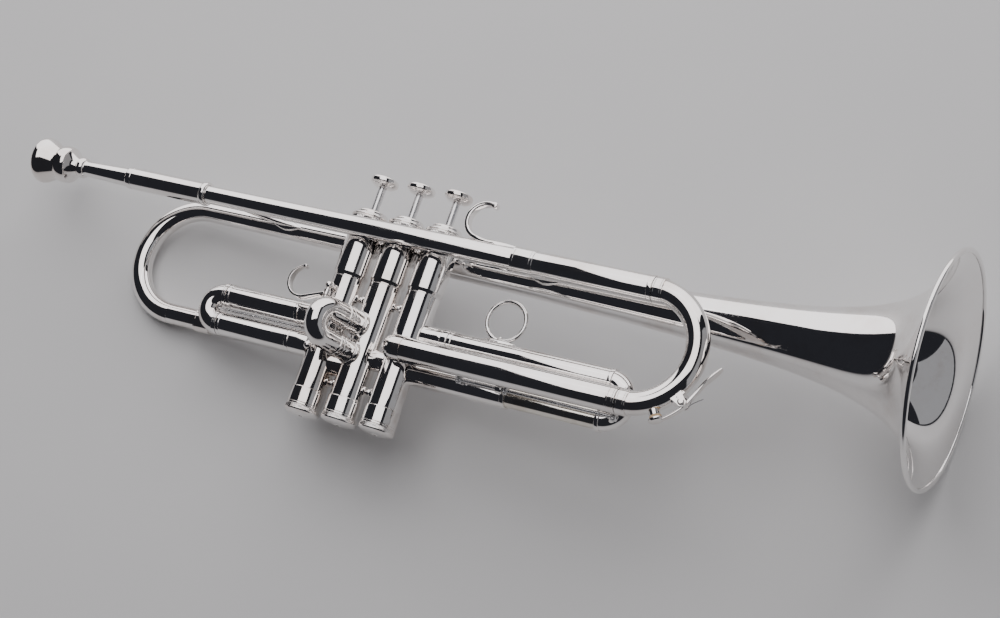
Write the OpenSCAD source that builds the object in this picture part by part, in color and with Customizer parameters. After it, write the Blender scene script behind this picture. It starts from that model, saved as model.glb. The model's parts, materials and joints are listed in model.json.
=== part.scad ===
// Piston-valve trumpet, lying on its bell side.
// Working frame: x towards the bell, y towards the player's left, z up through the buttons.
// The origin of that frame is on the middle valve's axis; lay() turns it onto its side.

/* [Bell] */
// Bell rim diameter, mm
bell_d = 123; // [116:1:130]
// Bell rim distance ahead of the middle valve, mm
bell_x = 306.8; // [296:0.2:318]
// Wall thickness of bell and tubes, mm
wall = 0.7; // [0.6:0.05:0.9]

/* [Tubes] */
// Outside radius of the fixed slide sleeves, mm
sleeve_r = 6.6; // [6.5:0.05:6.7]
// Outside radius of the sliding inner legs, mm
leg_r = 5.85; // [5.7:0.05:5.9]
// Outside radius of the main slide sleeves, mm
main_r = 7; // [6.9:0.05:7.2]
// Radius of the fine wire used for rings and hooks, mm
wire_r = 1.25; // [1.1:0.05:1.4]

/* [Valves] */
// Distance between valve axes, mm
pitch = 23.8; // [23.4:0.1:24.4]
// Outside radius of the lower casings, mm
case_r = 9.5; // [9.4:0.05:9.7]
// Valve stroke, mm
stroke = 14.5; // [13:0.5:15]
// Finger button radius, mm
button_r = 8.1; // [7.6:0.1:8.6]

/* [Display] */
// Sub-part to draw

/* [Hidden] */
$fn = 96;
run_gap = 0.05;
bore_r = 8.5;
piston_r = bore_r - run_gap;
// Levels up the valve block
case_bot = -66;
joint_z = 5.5;
case_top = 41;
up_case_r = case_r + 0.6;
cap_top = 45.8;
felt_lip = 0.9;
button_z = cap_top + felt_lip + stroke;
button_h = 5.1;
guide_z = 9.5;
// Main lines: y and z of each straight run
lead_y = -16;
lead_z = 31.8;
low_z = -30;
bell_y = 18;
bell_z = 31.6;
tail_y = 15.5;
tail_z = -34;
tail_r = 6.05;
rear_x = -137.5;
s1_up = -19.4;
s1_lo = -36;
s1_end = -92.8;
s2_up = -20.3;
s2_lo = -36.3;
s2_turn = 20;
s2_sleeve = 19.5;
s2_mid = 31;
s3_up = -17;
s3_lo = -38;
s3_mid = 145;
s3_sleeve = 92;
crook_x = 160.6;
bow_r = 6.4;
mid_z = (lead_z + low_z) / 2;
crook_big = (lead_z - low_z) / 2;
lead_in = -121;
recv_x = -176.5;
cup_x = -240.6;
// Bell flare law
flare_d = 15;
flare_k = 0.68;
flare_n = 56;
// Pose on the ground
lay_roll = 7.05;
lay_pitch = -6.36;
lay_at = [-36.24, -10.21, 42.51];

silver = [0.83, 0.82, 0.80];
warm = [0.80, 0.78, 0.74];
steel = [0.62, 0.62, 0.64];
felt = [0.14, 0.13, 0.15];
cork = [0.72, 0.55, 0.36];
pearl = [0.90, 0.89, 0.86];

module lay() {
  translate(lay_at)
    rotate([lay_roll, lay_pitch, 0])
      rotate([-90, 0, 0])
        children();
}

// Round tube along +z, outside radius ro, inside radius ri
module pipe(h, ro, ri) {
  difference() {
    cylinder(h = h, r = ro);
    translate([0, 0, -1]) cylinder(h = h + 2, r = ri);
  }
}

// Tube along x from x0 to x1 on the line y, z
module run(x0, x1, y, z, ro, ri) {
  translate([x0, y, z]) rotate([0, 90, 0]) pipe(x1 - x0, ro, ri);
}

// Solid bar along x
module bar(x0, x1, y, z, r) {
  translate([x0, y, z]) rotate([0, 90, 0]) cylinder(h = x1 - x0, r = r);
}

// Revolved outline about an x-parallel line; outline is given as [along, radius]
module turned(x, y, z, pts) {
  translate([x, y, z]) rotate([0, 90, 0]) rotate_extrude() polygon([for (p = pts) [p[1], p[0]]]);
}

// Half-ring tube in the x-z plane, opening backwards when dir = 1
module bend(x, y, z, big, ro, ri, dir) {
  translate([x, y, z]) rotate([90, 0, 0])
    rotate_extrude(angle = 180, start = dir > 0 ? -90 : 90)
      translate([big, 0]) difference() {
        circle(r = ro);
        circle(r = ri);
      }
}

// Soldered collar on a tube running along x
module collar(x0, x1, y, z, ro, ri) {
  soft = min(0.4, (ro - ri) / 2);
  turned(x0, y, z, [[0, ri], [0, ro - soft], [soft, ro], [x1 - x0 - soft, ro],
    [x1 - x0, ro - soft], [x1 - x0, ri]]);
}

function vx(i) = (i - 2) * pitch;
function bell_r(x) = bell_d / 2 * pow(flare_d / (bell_x - x + flare_d), flare_k);

// ---- blowing end ----
module mouthpiece() {
  color(silver) lay() turned(cup_x, lead_y, lead_z, concat(
    [[1, 8.4], [0.3, 9.4], [0, 10.6], [0.25, 11.9], [0.9, 12.9], [2.1, 13.5], [4, 13.5],
     [5.6, 13], [7.6, 11.9], [10, 10.7], [12, 9.9], [13.6, 9.5]],
    [for (a = [0:15:180]) [18.2 - 4 * cos(a), 9.4 + 1.5 * sin(a)]],
    [[23.4, 7.6], [25, 5.9], [26.6, 5]],
    [for (a = [0:20:180]) [30 - 2.6 * cos(a), 4.7 + 1.5 * sin(a)]],
    [[34, 4.5], [62, 5.45], [87, 4.85], [87, 4.05], [40, 2.4], [26, 1.85], [22, 1.85],
     [19.5, 2.9], [16.5, 5.4], [12, 7.2], [6, 8.1]]
  ));
}

module receiver() {
  seat = cup_x + 87.4 - recv_x;
  len = lead_in - recv_x;
  color(silver) lay() turned(recv_x, lead_y, lead_z,
    [[0, 5.5], [0, 6], [0.5, 6.4], [len - 3.4, 6.4], [len - 2.8, 6.9], [len - 0.5, 6.9],
     [len, 6.4], [len, 5.2], [seat + 2, 5.2], [seat + 2, 4.9], [seat, 4.9]]);
}

module leadpipe() {
  color(silver) lay() turned(-150, lead_y, lead_z,
    [[0, 5.2], [150 + lead_in, 5.2], [240, 6.3], [240, 5.7], [0, 4.5]]);
}

module ferrules() {
  color(warm) lay() {
    collar(77, 90, lead_y, lead_z, 7.3, main_r);
    collar(-118, -108, tail_y, tail_z, 6.7, tail_r);
  }
}

// ---- main slide sleeves ----
module upper_slide_tube() {
  color(silver) lay() {
    turned(77, lead_y, lead_z, [[0, 6.3], [0, main_r], [13, main_r], [13, 6.3]]);
    run(90, 159, lead_y, lead_z, main_r, leg_r + run_gap);
  }
}

module lower_slide_tube() {
  color(silver) lay() {
    run(32, 159, lead_y, low_z, main_r, leg_r + run_gap);
    collar(154, 158.9, lead_y, low_z, main_r + 0.35, main_r - 0.3);
  }
}

// Round-ended elbow: a run along x that ends in a ball at ex, and a stub across to the valve
module knuckle(ex, y, z, dir, far, ball_r, bore) {
  side = y > 0 ? 90 : -90;
  difference() {
    union() {
      translate([ex, y, z]) rotate([0, dir * 90, 0]) rotate_extrude()
        polygon([for (p = concat(ball(0, ball_r, 0, 90), [[far, ball_r], [far, 0]])) [p[1], p[0]]]);
      translate([ex, y, z]) rotate([side, 0, 0]) cylinder(h = 15, r = 6.2);
    }
    translate([ex, y, z]) rotate([0, dir * 90, 0]) rotate_extrude()
      polygon([for (p = concat(ball(0, bore, 0, 90), [[far + 1, bore], [far + 1, 0]])) [p[1], p[0]]]);
    translate([ex, y, z]) rotate([side, 0, 0]) cylinder(h = 16, r = 5.2);
  }
}

// Elbow from the lower main tube into the third valve
module inlet_knuckle() {
  color(silver) lay() difference() {
    knuckle(26.6, lead_y, low_z, 1, 5.4, 7.2, 5.6);
    translate([vx(3), 0, low_z - 9]) cylinder(h = 18, r = case_r);
  }
}

// ---- valve block ----
module port(i, dx, z, turn) {
  translate([vx(i) + dx, 0, z]) rotate([0, 0, turn]) rotate([0, 90, 0]) cylinder(h = 14, r = 5.2);
}

module casing_shell(i) {
  translate([vx(i), 0, case_bot]) pipe(joint_z - 0.5 - case_bot, case_r, bore_r);
}

module casing_1() {
  color(silver) lay() difference() {
    casing_shell(1);
    port(1, 0, s1_up, 180);
    port(1, 0, s1_lo, 180);
    port(1, 2.6, tail_z, 90);
    port(1, 0, -44, 0);
  }
}

module casing_2() {
  color(silver) lay() difference() {
    casing_shell(2);
    port(2, 0, s2_up, -90 - s2_turn);
    port(2, 0, s2_lo, -90 - s2_turn);
    port(2, 0, -44, 180);
    port(2, 0, -36, 0);
  }
}

module casing_3() {
  color(silver) lay() difference() {
    casing_shell(3);
    port(3, 0, s3_up, 0);
    port(3, 0, s3_lo, 0);
    port(3, 2.8, low_z, -90);
    port(3, 0, -36, 180);
  }
}

module upper_casings() {
  base = joint_z - 0.5;
  color(silver) lay() for (i = [1:3]) translate([vx(i), 0, 0]) difference() {
    rotate_extrude() polygon([[bore_r, base], [case_r, base], [case_r, joint_z + 0.3],
      [up_case_r, joint_z + 0.9], [up_case_r, case_top], [bore_r, case_top]]);
    guide_bar();
  }
}

module guide_bar() {
  translate([0, 0, guide_z + 1]) cube([17.9, 5, 2], center = true);
}

module valve_guides() {
  color(steel) lay() for (i = [1:3]) translate([vx(i), 0, 0]) difference() {
    guide_bar();
    translate([0, 0, guide_z - 1]) cylinder(h = 4, r = 1.6);
  }
}

module crossover_tubes() {
  color(silver) lay() {
    difference() {
      bar(vx(1), vx(2), 0, -44, 6);
      bar(vx(1) - 1, vx(2) + 1, 0, -44, 5.2);
      for (i = [1:2]) translate([vx(i), 0, -52]) cylinder(h = 16, r = case_r);
    }
    difference() {
      bar(vx(2), vx(3), 0, -36, 6);
      bar(vx(2) - 1, vx(3) + 1, 0, -36, 5.2);
      for (i = [2:3]) translate([vx(i), 0, -44]) cylinder(h = 16, r = case_r);
    }
  }
}

// Profile of a ball centred at c along the axis, between two angles from the axis
function ball(c, r, a0, a1) = [for (k = [0:8]) let (a = a0 + (a1 - a0) * k / 8)
  [c - r * cos(a), r * sin(a)]];

// Small beaded studs that tie neighbouring casings together
module casing_studs() {
  foot = case_r + 0.7;
  rod = 1.5;
  bead = 2.1;
  edge = asin(rod / bead);
  color(silver) lay() for (i = [1:2], z = [-4.6, -54]) difference() {
    turned(vx(i), 0, z, concat(
      [[0, 0], [0, 3], [foot, 3], [foot, rod]],
      ball(pitch / 2, bead, edge, 180 - edge),
      [[pitch - foot, rod], [pitch - foot, 3], [pitch, 3], [pitch, 0]]));
    for (k = [i:i + 1]) translate([vx(k), 0, z - 5]) cylinder(h = 10, r = case_r);
  }
}

module top_caps() {
  color(silver) lay() for (i = [1:3]) translate([vx(i), 0, 0]) rotate_extrude()
    polygon([[up_case_r, 36.8], [10.9, 36.8], [11.3, 37.2], [11.3, 40.8], [10.9, 41.2],
      [11.3, 41.6], [11.3, 42.2], [10.9, 42.8], [9.2, 43.2], [8.8, 43.6], [8.8, 44.4],
      [8.5, 45.1], [7.9, 45.6], [7.1, cap_top], [4, cap_top], [3.4, cap_top - 0.6],
      [2.6, cap_top - 0.6], [2.6, 43], [7.9, 43], [8.9, 42], [8.9, case_top],
      [up_case_r, case_top]]);
}

module bottom_caps() {
  color(silver) lay() for (i = [1:3]) translate([vx(i), 0, 0]) rotate_extrude()
    polygon([[1.2, -76.4], [2, -76.4], [2.6, -75.6], [3.2, -74.6], [7.6, -74.6], [8.3, -75.5],
      [10, -75.5], [10.6, -74.9], [10.6, -69.6], [10.2, -69.2], [10.6, -68.8],
      [10.6, -61.4], [10.2, -61], [case_r, -61], [case_r, case_bot], [bore_r, case_bot],
      [bore_r, -71.5], [1.2, -71.5]]);
}

module cap_felts() {
  color(felt) lay() for (i = [1:3]) translate([vx(i), 0, cap_top - 0.6])
    pipe(0.6 + felt_lip, 3.4, 2.6);
}

// Piston: ported body below, slotted spring cage above
module piston(i) {
  cage_top = 41;
  body_top = 3;
  color(steel) lay() translate([vx(i), 0, 0]) difference() {
    union() {
      translate([0, 0, -47]) cylinder(h = 47 + body_top, r = piston_r);
      translate([0, 0, body_top]) cylinder(h = cage_top - body_top, r = 8.2);
    }
    translate([0, 0, body_top + 2]) cylinder(h = cage_top - body_top - 3.5, r = 7.1);
    translate([-10, -3, guide_z - 0.8]) cube([20, 6, stroke + 3.6]);
    translate([0, 0, -48]) cylinder(h = 4, r = 7.4);
    for (k = [0:2])
      translate([0, 0, -36 + 14.5 * k])
        rotate([0, 90, 60 * k + 20 * i]) cylinder(h = 20, r = 4.9, center = true);
    translate([0, 0, cage_top - 2]) cylinder(h = 3, r = 1.9);
  }
}
module piston_1() { piston(1); }
module piston_2() { piston(2); }
module piston_3() { piston(3); }

module stem(i) {
  color(steel) lay() translate([vx(i), 0, 0]) rotate_extrude()
    polygon([[0, 39.5], [1.9, 39.5], [1.9, 41], [4.2, 41], [4.2, 42], [2.2, 42.4],
      [2.2, button_z + 2], [0, button_z + 2]]);
}
module stem_1() { stem(1); }
module stem_2() { stem(2); }
module stem_3() { stem(3); }

module button(i) {
  r = button_r;
  z = button_z;
  color(silver) lay() translate([vx(i), 0, 0]) rotate_extrude()
    polygon([[2.2, z], [3.4, z], [3.8, z + 0.4], [r - 1.8, z + 0.8], [r - 1.1, z + 1.3],
      [r - 0.3, z + 1.7], [r, z + 2.3], [r, z + 4.2], [r - 0.25, z + 4.8],
      [r - 0.8, z + button_h], [r - 1.2, z + button_h], [r - 1.5, z + 4.8],
      [r - 1.5, z + 4], [0, z + 4], [0, z + 2], [2.2, z + 2]]);
}
module button_1() { button(1); }
module button_2() { button(2); }
module button_3() { button(3); }

module pearl_disc(i) {
  r = button_r - 1.5;
  z = button_z + 4;
  color(pearl) lay() translate([vx(i), 0, 0]) rotate_extrude()
    polygon([[0, z], [r, z], [r, z + 0.6], [r - 0.8, z + 0.9], [r / 2, z + 0.75], [0, z + 0.7]]);
}
module pearl_1() { pearl_disc(1); }
module pearl_2() { pearl_disc(2); }
module pearl_3() { pearl_disc(3); }

// Coil of wire, centre line from z0 to z1
module coil(z0, z1, big, r, turns) {
  seg = 16;
  side = 6;
  n = turns * seg;
  pts = [for (k = [0:n], j = [0:side - 1])
    let (a = 360 * k / seg, b = 360 * j / side, q = big + r * cos(b))
    [q * cos(a), q * sin(a), z0 + (z1 - z0) * k / n + r * sin(b)]];
  skin = [for (k = [0:n - 1], j = [0:side - 1])
    let (u = k * side, v = (j + 1) % side)
    [u + j, u + v, u + side + v, u + side + j]];
  ends = [[for (j = [side - 1:-1:0]) j], [for (j = [0:side - 1]) n * side + j]];
  polyhedron(points = pts, faces = concat(skin, ends), convexity = 6);
}

module valve_spring(i) {
  color(steel) lay() translate([vx(i), 0, 0]) coil(guide_z + 2.8, 38.8, 6, 0.5, 7);
}
module spring_1() { valve_spring(1); }
module spring_2() { valve_spring(2); }
module spring_3() { valve_spring(3); }

// ---- bell ----
function bell_slope(x) = bell_r(x) * flare_k / (bell_x - x + flare_d);
function bell_out(x) = [x - rear_x, bell_r(x)];
function bell_in(x) = let (s = bell_slope(x), h = sqrt(1 + s * s))
  [x - rear_x + wall * s / h, bell_r(x) - wall / h];

module bell() {
  span = bell_x - rear_x;
  xs = [for (k = [0:flare_n]) bell_x - span * pow(1 - k / flare_n, 2.2)];
  color(silver) lay() turned(rear_x, bell_y, bell_z, concat(
    [for (x = xs) bell_out(x)],
    [for (k = [flare_n:-1:1]) bell_in(xs[k])],
    [[0, bell_r(rear_x) - wall]]));
}

module bell_rim() {
  color(silver) lay() translate([bell_x + 0.2, bell_y, bell_z]) rotate([0, 90, 0])
    rotate_extrude() translate([bell_d / 2, 0]) circle(r = 1.5);
}

module bell_bow() {
  drop = bell_z - tail_z;
  side = bell_y - tail_y;
  big = sqrt(drop * drop + side * side) / 2;
  r = bell_r(rear_x);
  color(silver) lay() translate([rear_x, (bell_y + tail_y) / 2, (bell_z + tail_z) / 2])
    rotate([-atan(side / drop), 0, 0]) bend(0, 0, 0, big, r, r - wall, -1);
}

module bell_tail() {
  color(silver) lay() run(rear_x, -26.6, tail_y, tail_z, tail_r, tail_r - wall);
}

// Elbow from the first valve into the bell's tail
module tail_knuckle() {
  color(silver) lay() difference() {
    knuckle(-21.2, tail_y, tail_z, -1, 5.4, 6.8, 5.35);
    translate([vx(1), 0, tail_z - 9]) cylinder(h = 18, r = case_r);
  }
}

// ---- braces and hooks ----
// S-curved rod from ya to yb, starting at x0 and running len forwards, in a level plane
module s_rod(x0, ya, yb, z, r, len) {
  n = 30;
  side = 12;
  h = yb - ya;
  pts = [for (k = [0:n], j = [0:side - 1])
    let (t = k / n, q = t * t * (3 - 2 * t), slope = 6 * t * (1 - t) * h / len,
      w = sqrt(1 + slope * slope), b = 360 * j / side)
    [x0 + len * t - r * cos(b) * slope / w, ya + h * q + r * cos(b) / w, z + r * sin(b)]];
  skin = [for (k = [0:n - 1], j = [0:side - 1])
    let (u = k * side, v = (j + 1) % side)
    [u + j, u + side + j, u + side + v, u + v]];
  ends = [[for (j = [0:side - 1]) j], [for (j = [side - 1:-1:0]) n * side + j]];
  polyhedron(points = pts, faces = concat(skin, ends), convexity = 4);
}

// Pointed soldering plate, long axis along x, facing along y
module diamond(x, y, z, long, wide, thick) {
  translate([x, y, z]) rotate([90, 0, 0]) linear_extrude(height = thick, center = true)
    polygon([[-long, 0], [-long / 4, wide], [long / 4, wide], [long, 0],
      [long / 4, -wide], [-long / 4, -wide]]);
}

module brace(x0) {
  xb = x0 + 27;
  ra = 5.2 + 1.1 * (x0 - lead_in) / (90 - lead_in);
  rb = bell_r(xb + 2);
  ya = lead_y + ra + 1.5;
  yb = bell_y - rb - 1.5;
  z = (lead_z + bell_z) / 2;
  color(silver) lay() difference() {
    union() {
      s_rod(x0 - 6, ya, yb, z, 1.7, 41);
      diamond(x0 + 1.2, lead_y + ra, z, 9.2, 3.3, 2.2);
      diamond(xb + 3, bell_y - rb, z, 9.5, 3.3, 2.2);
    }
    bar(x0 - 20, x0 + 20, lead_y, lead_z, ra);
    bar(xb - 20, xb + 24, bell_y, bell_z, rb);
  }
}
module rear_brace() { brace(-112); }
module front_brace() { brace(56); }

// Flat strip bent round a centre in the x-z plane
module strip_arc(x, y, z, big, thick, wide, a0, a1) {
  e = 0.5;
  w = wide / 2;
  t = thick / 2;
  translate([x, y, z]) rotate([90, 0, 0]) rotate_extrude(angle = a1 - a0, start = a0)
    translate([big, 0]) polygon([[-t, -w + e], [-t + e, -w], [t - e, -w], [t, -w + e],
      [t, w - e], [t - e, w], [-t + e, w], [-t, w - e]]);
}

module pinky_hook() {
  big = 10.2;
  hx = 53;
  hz = lead_z + 6.9 + big;
  color(silver) lay() difference() {
    union() {
      strip_arc(hx, lead_y, hz, big, 2.6, 6, 75, 272);
      translate([hx + big * cos(75), lead_y, hz + big * sin(75)])
        rotate([90, 0, 0]) cylinder(h = 6, r = 1.7, center = true);
      translate([hx - 1, lead_y - 2.6, lead_z + 5]) cube([22, 5.2, 2.6]);
      translate([hx + 21, lead_y, lead_z + 5]) cylinder(h = 2.6, r = 2.6);
    }
    turned(-150, lead_y, lead_z, [[0, 0], [0, 5.2], [150 + lead_in, 5.2], [240, 6.3], [240, 0]]);
  }
}

// ---- first slide ----
s1_mid = (s1_up + s1_lo) / 2;
s1_bend = (s1_up - s1_lo) / 2;

module slide1_sleeves() {
  color(silver) lay() for (z = [s1_up, s1_lo]) difference() {
    union() {
      run(s1_end, vx(1), 0, z, sleeve_r, leg_r + run_gap);
      collar(-46.6, -44.4, 0, z, 6.95, leg_r + 0.4);
    }
    translate([vx(1), 0, z - 9]) cylinder(h = 18, r = case_r);
  }
}

module slide1_crook() {
  cx = s1_end - 2.6;
  color(silver) lay() {
    bend(cx, 0, s1_mid, s1_bend, 6.3, leg_r, -1);
    for (z = [s1_up, s1_lo]) {
      run(cx, s1_end - 0.3, 0, z, 6.3, leg_r);
      collar(cx - 0.2, s1_end - 0.3, 0, z, 6.9, 6.3);
    }
  }
}

module slide1_legs() {
  color(warm) lay() for (z = [s1_up, s1_lo])
    run(s1_end - 2.6, -36, 0, z, leg_r, leg_r - 0.5);
}

// Pull rod between the two sleeves, from the crook to the thumb hook post
module slide1_rod() {
  x0 = s1_end - 4.4;
  x1 = -39;
  px = -27.5;
  py = -12;
  turn = atan2(py, px - x1);
  len = sqrt((px - x1) * (px - x1) + py * py);
  color(steel) lay() difference() {
    union() {
      bar(x0, x1, 0, s1_mid, 1);
      translate([x1, 0, s1_mid]) sphere(r = 1);
      translate([x1, 0, s1_mid]) rotate([0, 90, turn]) cylinder(h = len, r = 1);
      bar(-76, -73.6, 0, s1_mid, 1.25);
    }
    translate([s1_end - 2.6, 0, s1_mid]) rotate([90, 0, 0])
      rotate_extrude(angle = 180, start = 90) translate([s1_bend, 0]) circle(r = 6.3);
    translate([px, py, s1_mid - 4]) cylinder(h = 8, r = 1.3);
  }
}

module thumb_hook() {
  px = -27.5;
  py = -12;
  top = -3.2;
  low = -38.8;
  hx = -43.3;
  hz = -4.6;
  big = 9;
  tilt = 21.7;
  post_r = 1.3;
  ball_r = 2.4;
  edge = asin(post_r / ball_r);
  color(silver) lay() {
    strip_arc(hx, py, hz, big, 1.5, 5, 105, 270 + tilt);
    translate([hx + big * sin(tilt), py, hz - big * cos(tilt)]) rotate([0, -tilt, 0])
      translate([-0.5, -2.6, -0.85]) cube([12.9, 5.2, 1.7]);
    translate([hx + big * cos(105), py, hz + big * sin(105)])
      rotate([90, 0, 0]) cylinder(h = 5.2, r = 1.1, center = true);
    translate([px, py, 0]) rotate_extrude() polygon([for (p = concat(
      ball(low, ball_r, 0, 180 - edge),
      [[s1_mid - 1.8, post_r], [s1_mid - 1.8, 1.9], [s1_mid + 1.8, 1.9], [s1_mid + 1.8, post_r],
       [-9.4, post_r], [-9.4, 2], [-6, 2], [-6, post_r]],
      ball(top, ball_r, edge, 180))) [p[1], p[0]]]);
  }
}

// ---- second slide ----
module aim2() {
  rotate([0, 0, -90 - s2_turn]) children();
}

module slide2_sleeves() {
  color(silver) lay() aim2() for (z = [s2_up, s2_lo]) difference() {
    union() {
      run(0, s2_sleeve, 0, z, sleeve_r, leg_r + run_gap);
      collar(case_r - 0.6, case_r + 2, 0, z, 7.2, sleeve_r - 0.2);
      collar(s2_sleeve - 2.2, s2_sleeve, 0, z, 6.95, sleeve_r - 0.2);
    }
    translate([0, 0, z - 9]) cylinder(h = 18, r = case_r);
  }
}

module slide2_crook() {
  s = s2_sleeve + 0.3;
  color(silver) lay() aim2() {
    bend(s2_mid, 0, (s2_up + s2_lo) / 2, (s2_up - s2_lo) / 2, 6.3, leg_r, 1);
    for (z = [s2_up, s2_lo]) {
      run(s, s2_mid, 0, z, 6.3, leg_r);
      collar(s, s + 2.4, 0, z, 6.9, 6.3);
    }
    difference() {
      translate([s2_mid - 1, 0, s2_lo]) cylinder(h = s2_up - s2_lo, r = 1.1);
      bar(s2_mid - 4, s2_mid + 2, 0, s2_up, 6);
      bar(s2_mid - 4, s2_mid + 2, 0, s2_lo, 6);
    }
  }
}

module slide2_legs() {
  color(warm) lay() aim2() for (z = [s2_up, s2_lo])
    run(case_r + 0.2, s2_mid, 0, z, leg_r, leg_r - 0.5);
}

// ---- third slide ----
s3_turn = (s3_up - s3_lo) / 2;
rod_y = -9.4;
rod_z = -37.2;
lug_x = 88;

module slide3_fixed_tube() {
  color(silver) lay() difference() {
    union() {
      run(vx(3), 132, 0, s3_up, leg_r, leg_r - 0.5);
      collar(vx(3), 48.9, 0, s3_up, 6.95, leg_r - 0.2);
    }
    translate([vx(3), 0, s3_up - 9]) cylinder(h = 18, r = case_r);
  }
}

module slide3_low_sleeve() {
  color(silver) lay() difference() {
    union() {
      run(vx(3), s3_sleeve, 0, s3_lo, sleeve_r, leg_r + run_gap);
      collar(s3_sleeve - 2.4, s3_sleeve, 0, s3_lo, 6.95, sleeve_r - 0.2);
      difference() {
        union() {
          bar(lug_x, lug_x + 4, rod_y, rod_z, 2.4);
          translate([lug_x, rod_y, rod_z - 1]) cube([4, -rod_y - 4, 2]);
        }
        bar(lug_x - 1, lug_x + 5, 0, s3_lo, sleeve_r - 0.3);
      }
    }
    translate([vx(3), 0, s3_lo - 9]) cylinder(h = 18, r = case_r);
    bar(lug_x - 1, lug_x + 5, rod_y, rod_z, 1.05);
  }
}

module slide3_sleeve() {
  color(silver) lay() run(49.2, s3_mid, 0, s3_up, sleeve_r, leg_r + run_gap);
}

module slide3_leg() {
  color(warm) lay() run(38, s3_mid, 0, s3_lo, leg_r, leg_r - 0.5);
}

module slide3_crook() {
  color(silver) lay() {
    bend(s3_mid, 0, (s3_up + s3_lo) / 2, s3_turn, 6.4, 5.5, 1);
    for (z = [s3_up, s3_lo]) collar(s3_mid, s3_mid + 2.4, 0, z, 7.1, 6.1);
    difference() {
      translate([s3_mid + 8.6, rod_y, rod_z]) rotate([-90, 0, 0]) cylinder(h = 6.4, r = 1.4);
      translate([s3_mid, 0, (s3_up + s3_lo) / 2]) rotate([90, 0, 0])
        rotate_extrude(angle = 180, start = -90) translate([s3_turn, 0]) circle(r = 6);
    }
  }
}

module finger_ring() {
  rx = 76.4;
  rz = s3_up + sleeve_r + 0.9 + 11.2;
  color(silver) lay() difference() {
    union() {
      translate([rx, 0, rz]) rotate([90, 0, 0])
        rotate_extrude() translate([11.2, 0]) circle(r = wire_r);
      translate([rx - 5.5, -2.2, rz - 13.2]) cube([11, 4.4, 2.4]);
      for (s = [-1, 1]) translate([rx + 5.5 * s, 0, rz - 13.2]) cylinder(h = 2.4, r = 2.2);
    }
    bar(rx - 9, rx + 9, 0, s3_up, sleeve_r);
  }
}

module stop_rod() {
  color(steel) lay() {
    bar(lug_x - 24, s3_mid + 12, rod_y, rod_z, 1);
    bar(lug_x - 23.6, lug_x - 20.3, rod_y, rod_z, 2.2);
    bar(lug_x + 4.6, lug_x + 7, rod_y, rod_z, 2.2);
    bar(s3_mid + 10.2, s3_mid + 13.2, rod_y, rod_z, 2.3);
  }
}

// ---- main tuning slide ----
module main_crook() {
  color(silver) lay() {
    difference() {
      bend(crook_x, lead_y, mid_z, crook_big, bow_r, 5.85, 1);
      at_crook(key_cup_a, 0) rotate([0, 90, 0]) cylinder(h = 80, r = 1.5);
    }
    for (z = [lead_z, low_z]) collar(159.3, 165, lead_y, z, main_r + 0.1, 5.85);
    difference() {
      at_crook(key_cup_a, crook_big + 4) rotate([0, 90, 0]) cylinder(h = 4.6, r = 3);
      translate([crook_x, lead_y, mid_z]) rotate([90, 0, 0]) rotate_extrude(angle = 180, start = -90)
        translate([crook_big, 0]) circle(r = bow_r);
      at_crook(key_cup_a, 0) rotate([0, 90, 0]) cylinder(h = 80, r = 1.5);
    }
  }
}

module main_legs() {
  color(warm) lay() for (z = [lead_z, low_z])
    run(102, 159.3, lead_y, z, leg_r, leg_r - 0.5);
}

// ---- water key ----
key_cup_a = -59.6;
key_pin_a = -37.4;
key_tip_a = -5;
key_r = crook_big + bow_r + 3.5;
key_cup_r = crook_big + 8.6;

// Local frame on the crook: +x points away from the crook's centre at angle a
module at_crook(a, r) {
  translate([crook_x, lead_y, mid_z]) rotate([0, -a, 0]) translate([r, 0, 0]) children();
}

module key_saddle() {
  color(silver) lay() difference() {
    union() {
      for (s = [-1, 1]) at_crook(key_pin_a, key_r) translate([0, s * 3.4, 0])
        rotate([90, 0, 0]) {
          cylinder(h = 1.4, r = 2.3, center = true);
          translate([-3, 0, 0]) cube([6, 4.6, 1.4], center = true);
        }
      at_crook(key_pin_a, key_r - 3.6) cube([3, 8.2, 8], center = true);
      at_crook(key_pin_a, key_r) rotate([90, 0, 0]) cylinder(h = 9.6, r = 1, center = true);
      at_crook(key_pin_a, key_r) translate([0, -4.6, 0])
        rotate([90, 0, 0]) cylinder(h = 1.2, r = 1.9, center = true);
    }
    translate([crook_x, lead_y, mid_z]) rotate([90, 0, 0]) rotate_extrude(angle = 180, start = -90)
      translate([crook_big, 0]) circle(r = bow_r);
  }
}

module key_lever() {
  cup_r = key_cup_r + 2;
  color(silver) lay() difference() {
    union() {
      at_crook(key_pin_a, key_r) rotate([90, 0, 0]) cylinder(h = 5, r = 2.1, center = true);
      at_crook(key_cup_a, cup_r) rotate([0, 90, 0]) cylinder(h = 1.5, r = 4.2);
      strip_arc(crook_x, lead_y, mid_z, cup_r + 0.75, 1.5, 4, key_cup_a, key_pin_a);
      at_crook(key_pin_a, cup_r + 0.75) rotate([0, -12, 0]) translate([0, -2, 0.2]) cube([1.5, 4, 15]);
      at_crook(key_pin_a, cup_r + 0.75) rotate([0, -12, 0]) translate([0, 0, 14.8])
        rotate([0, 10, 0]) translate([0, -2.6, -0.4]) cube([1.5, 5.2, 12]);
    }
    at_crook(key_pin_a, key_r) rotate([90, 0, 0]) cylinder(h = 12, r = 1 + run_gap, center = true);
  }
}

module key_cork() {
  color(cork) lay() at_crook(key_cup_a, key_cup_r) rotate([0, 90, 0]) cylinder(h = 2, r = 3.4);
}

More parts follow.
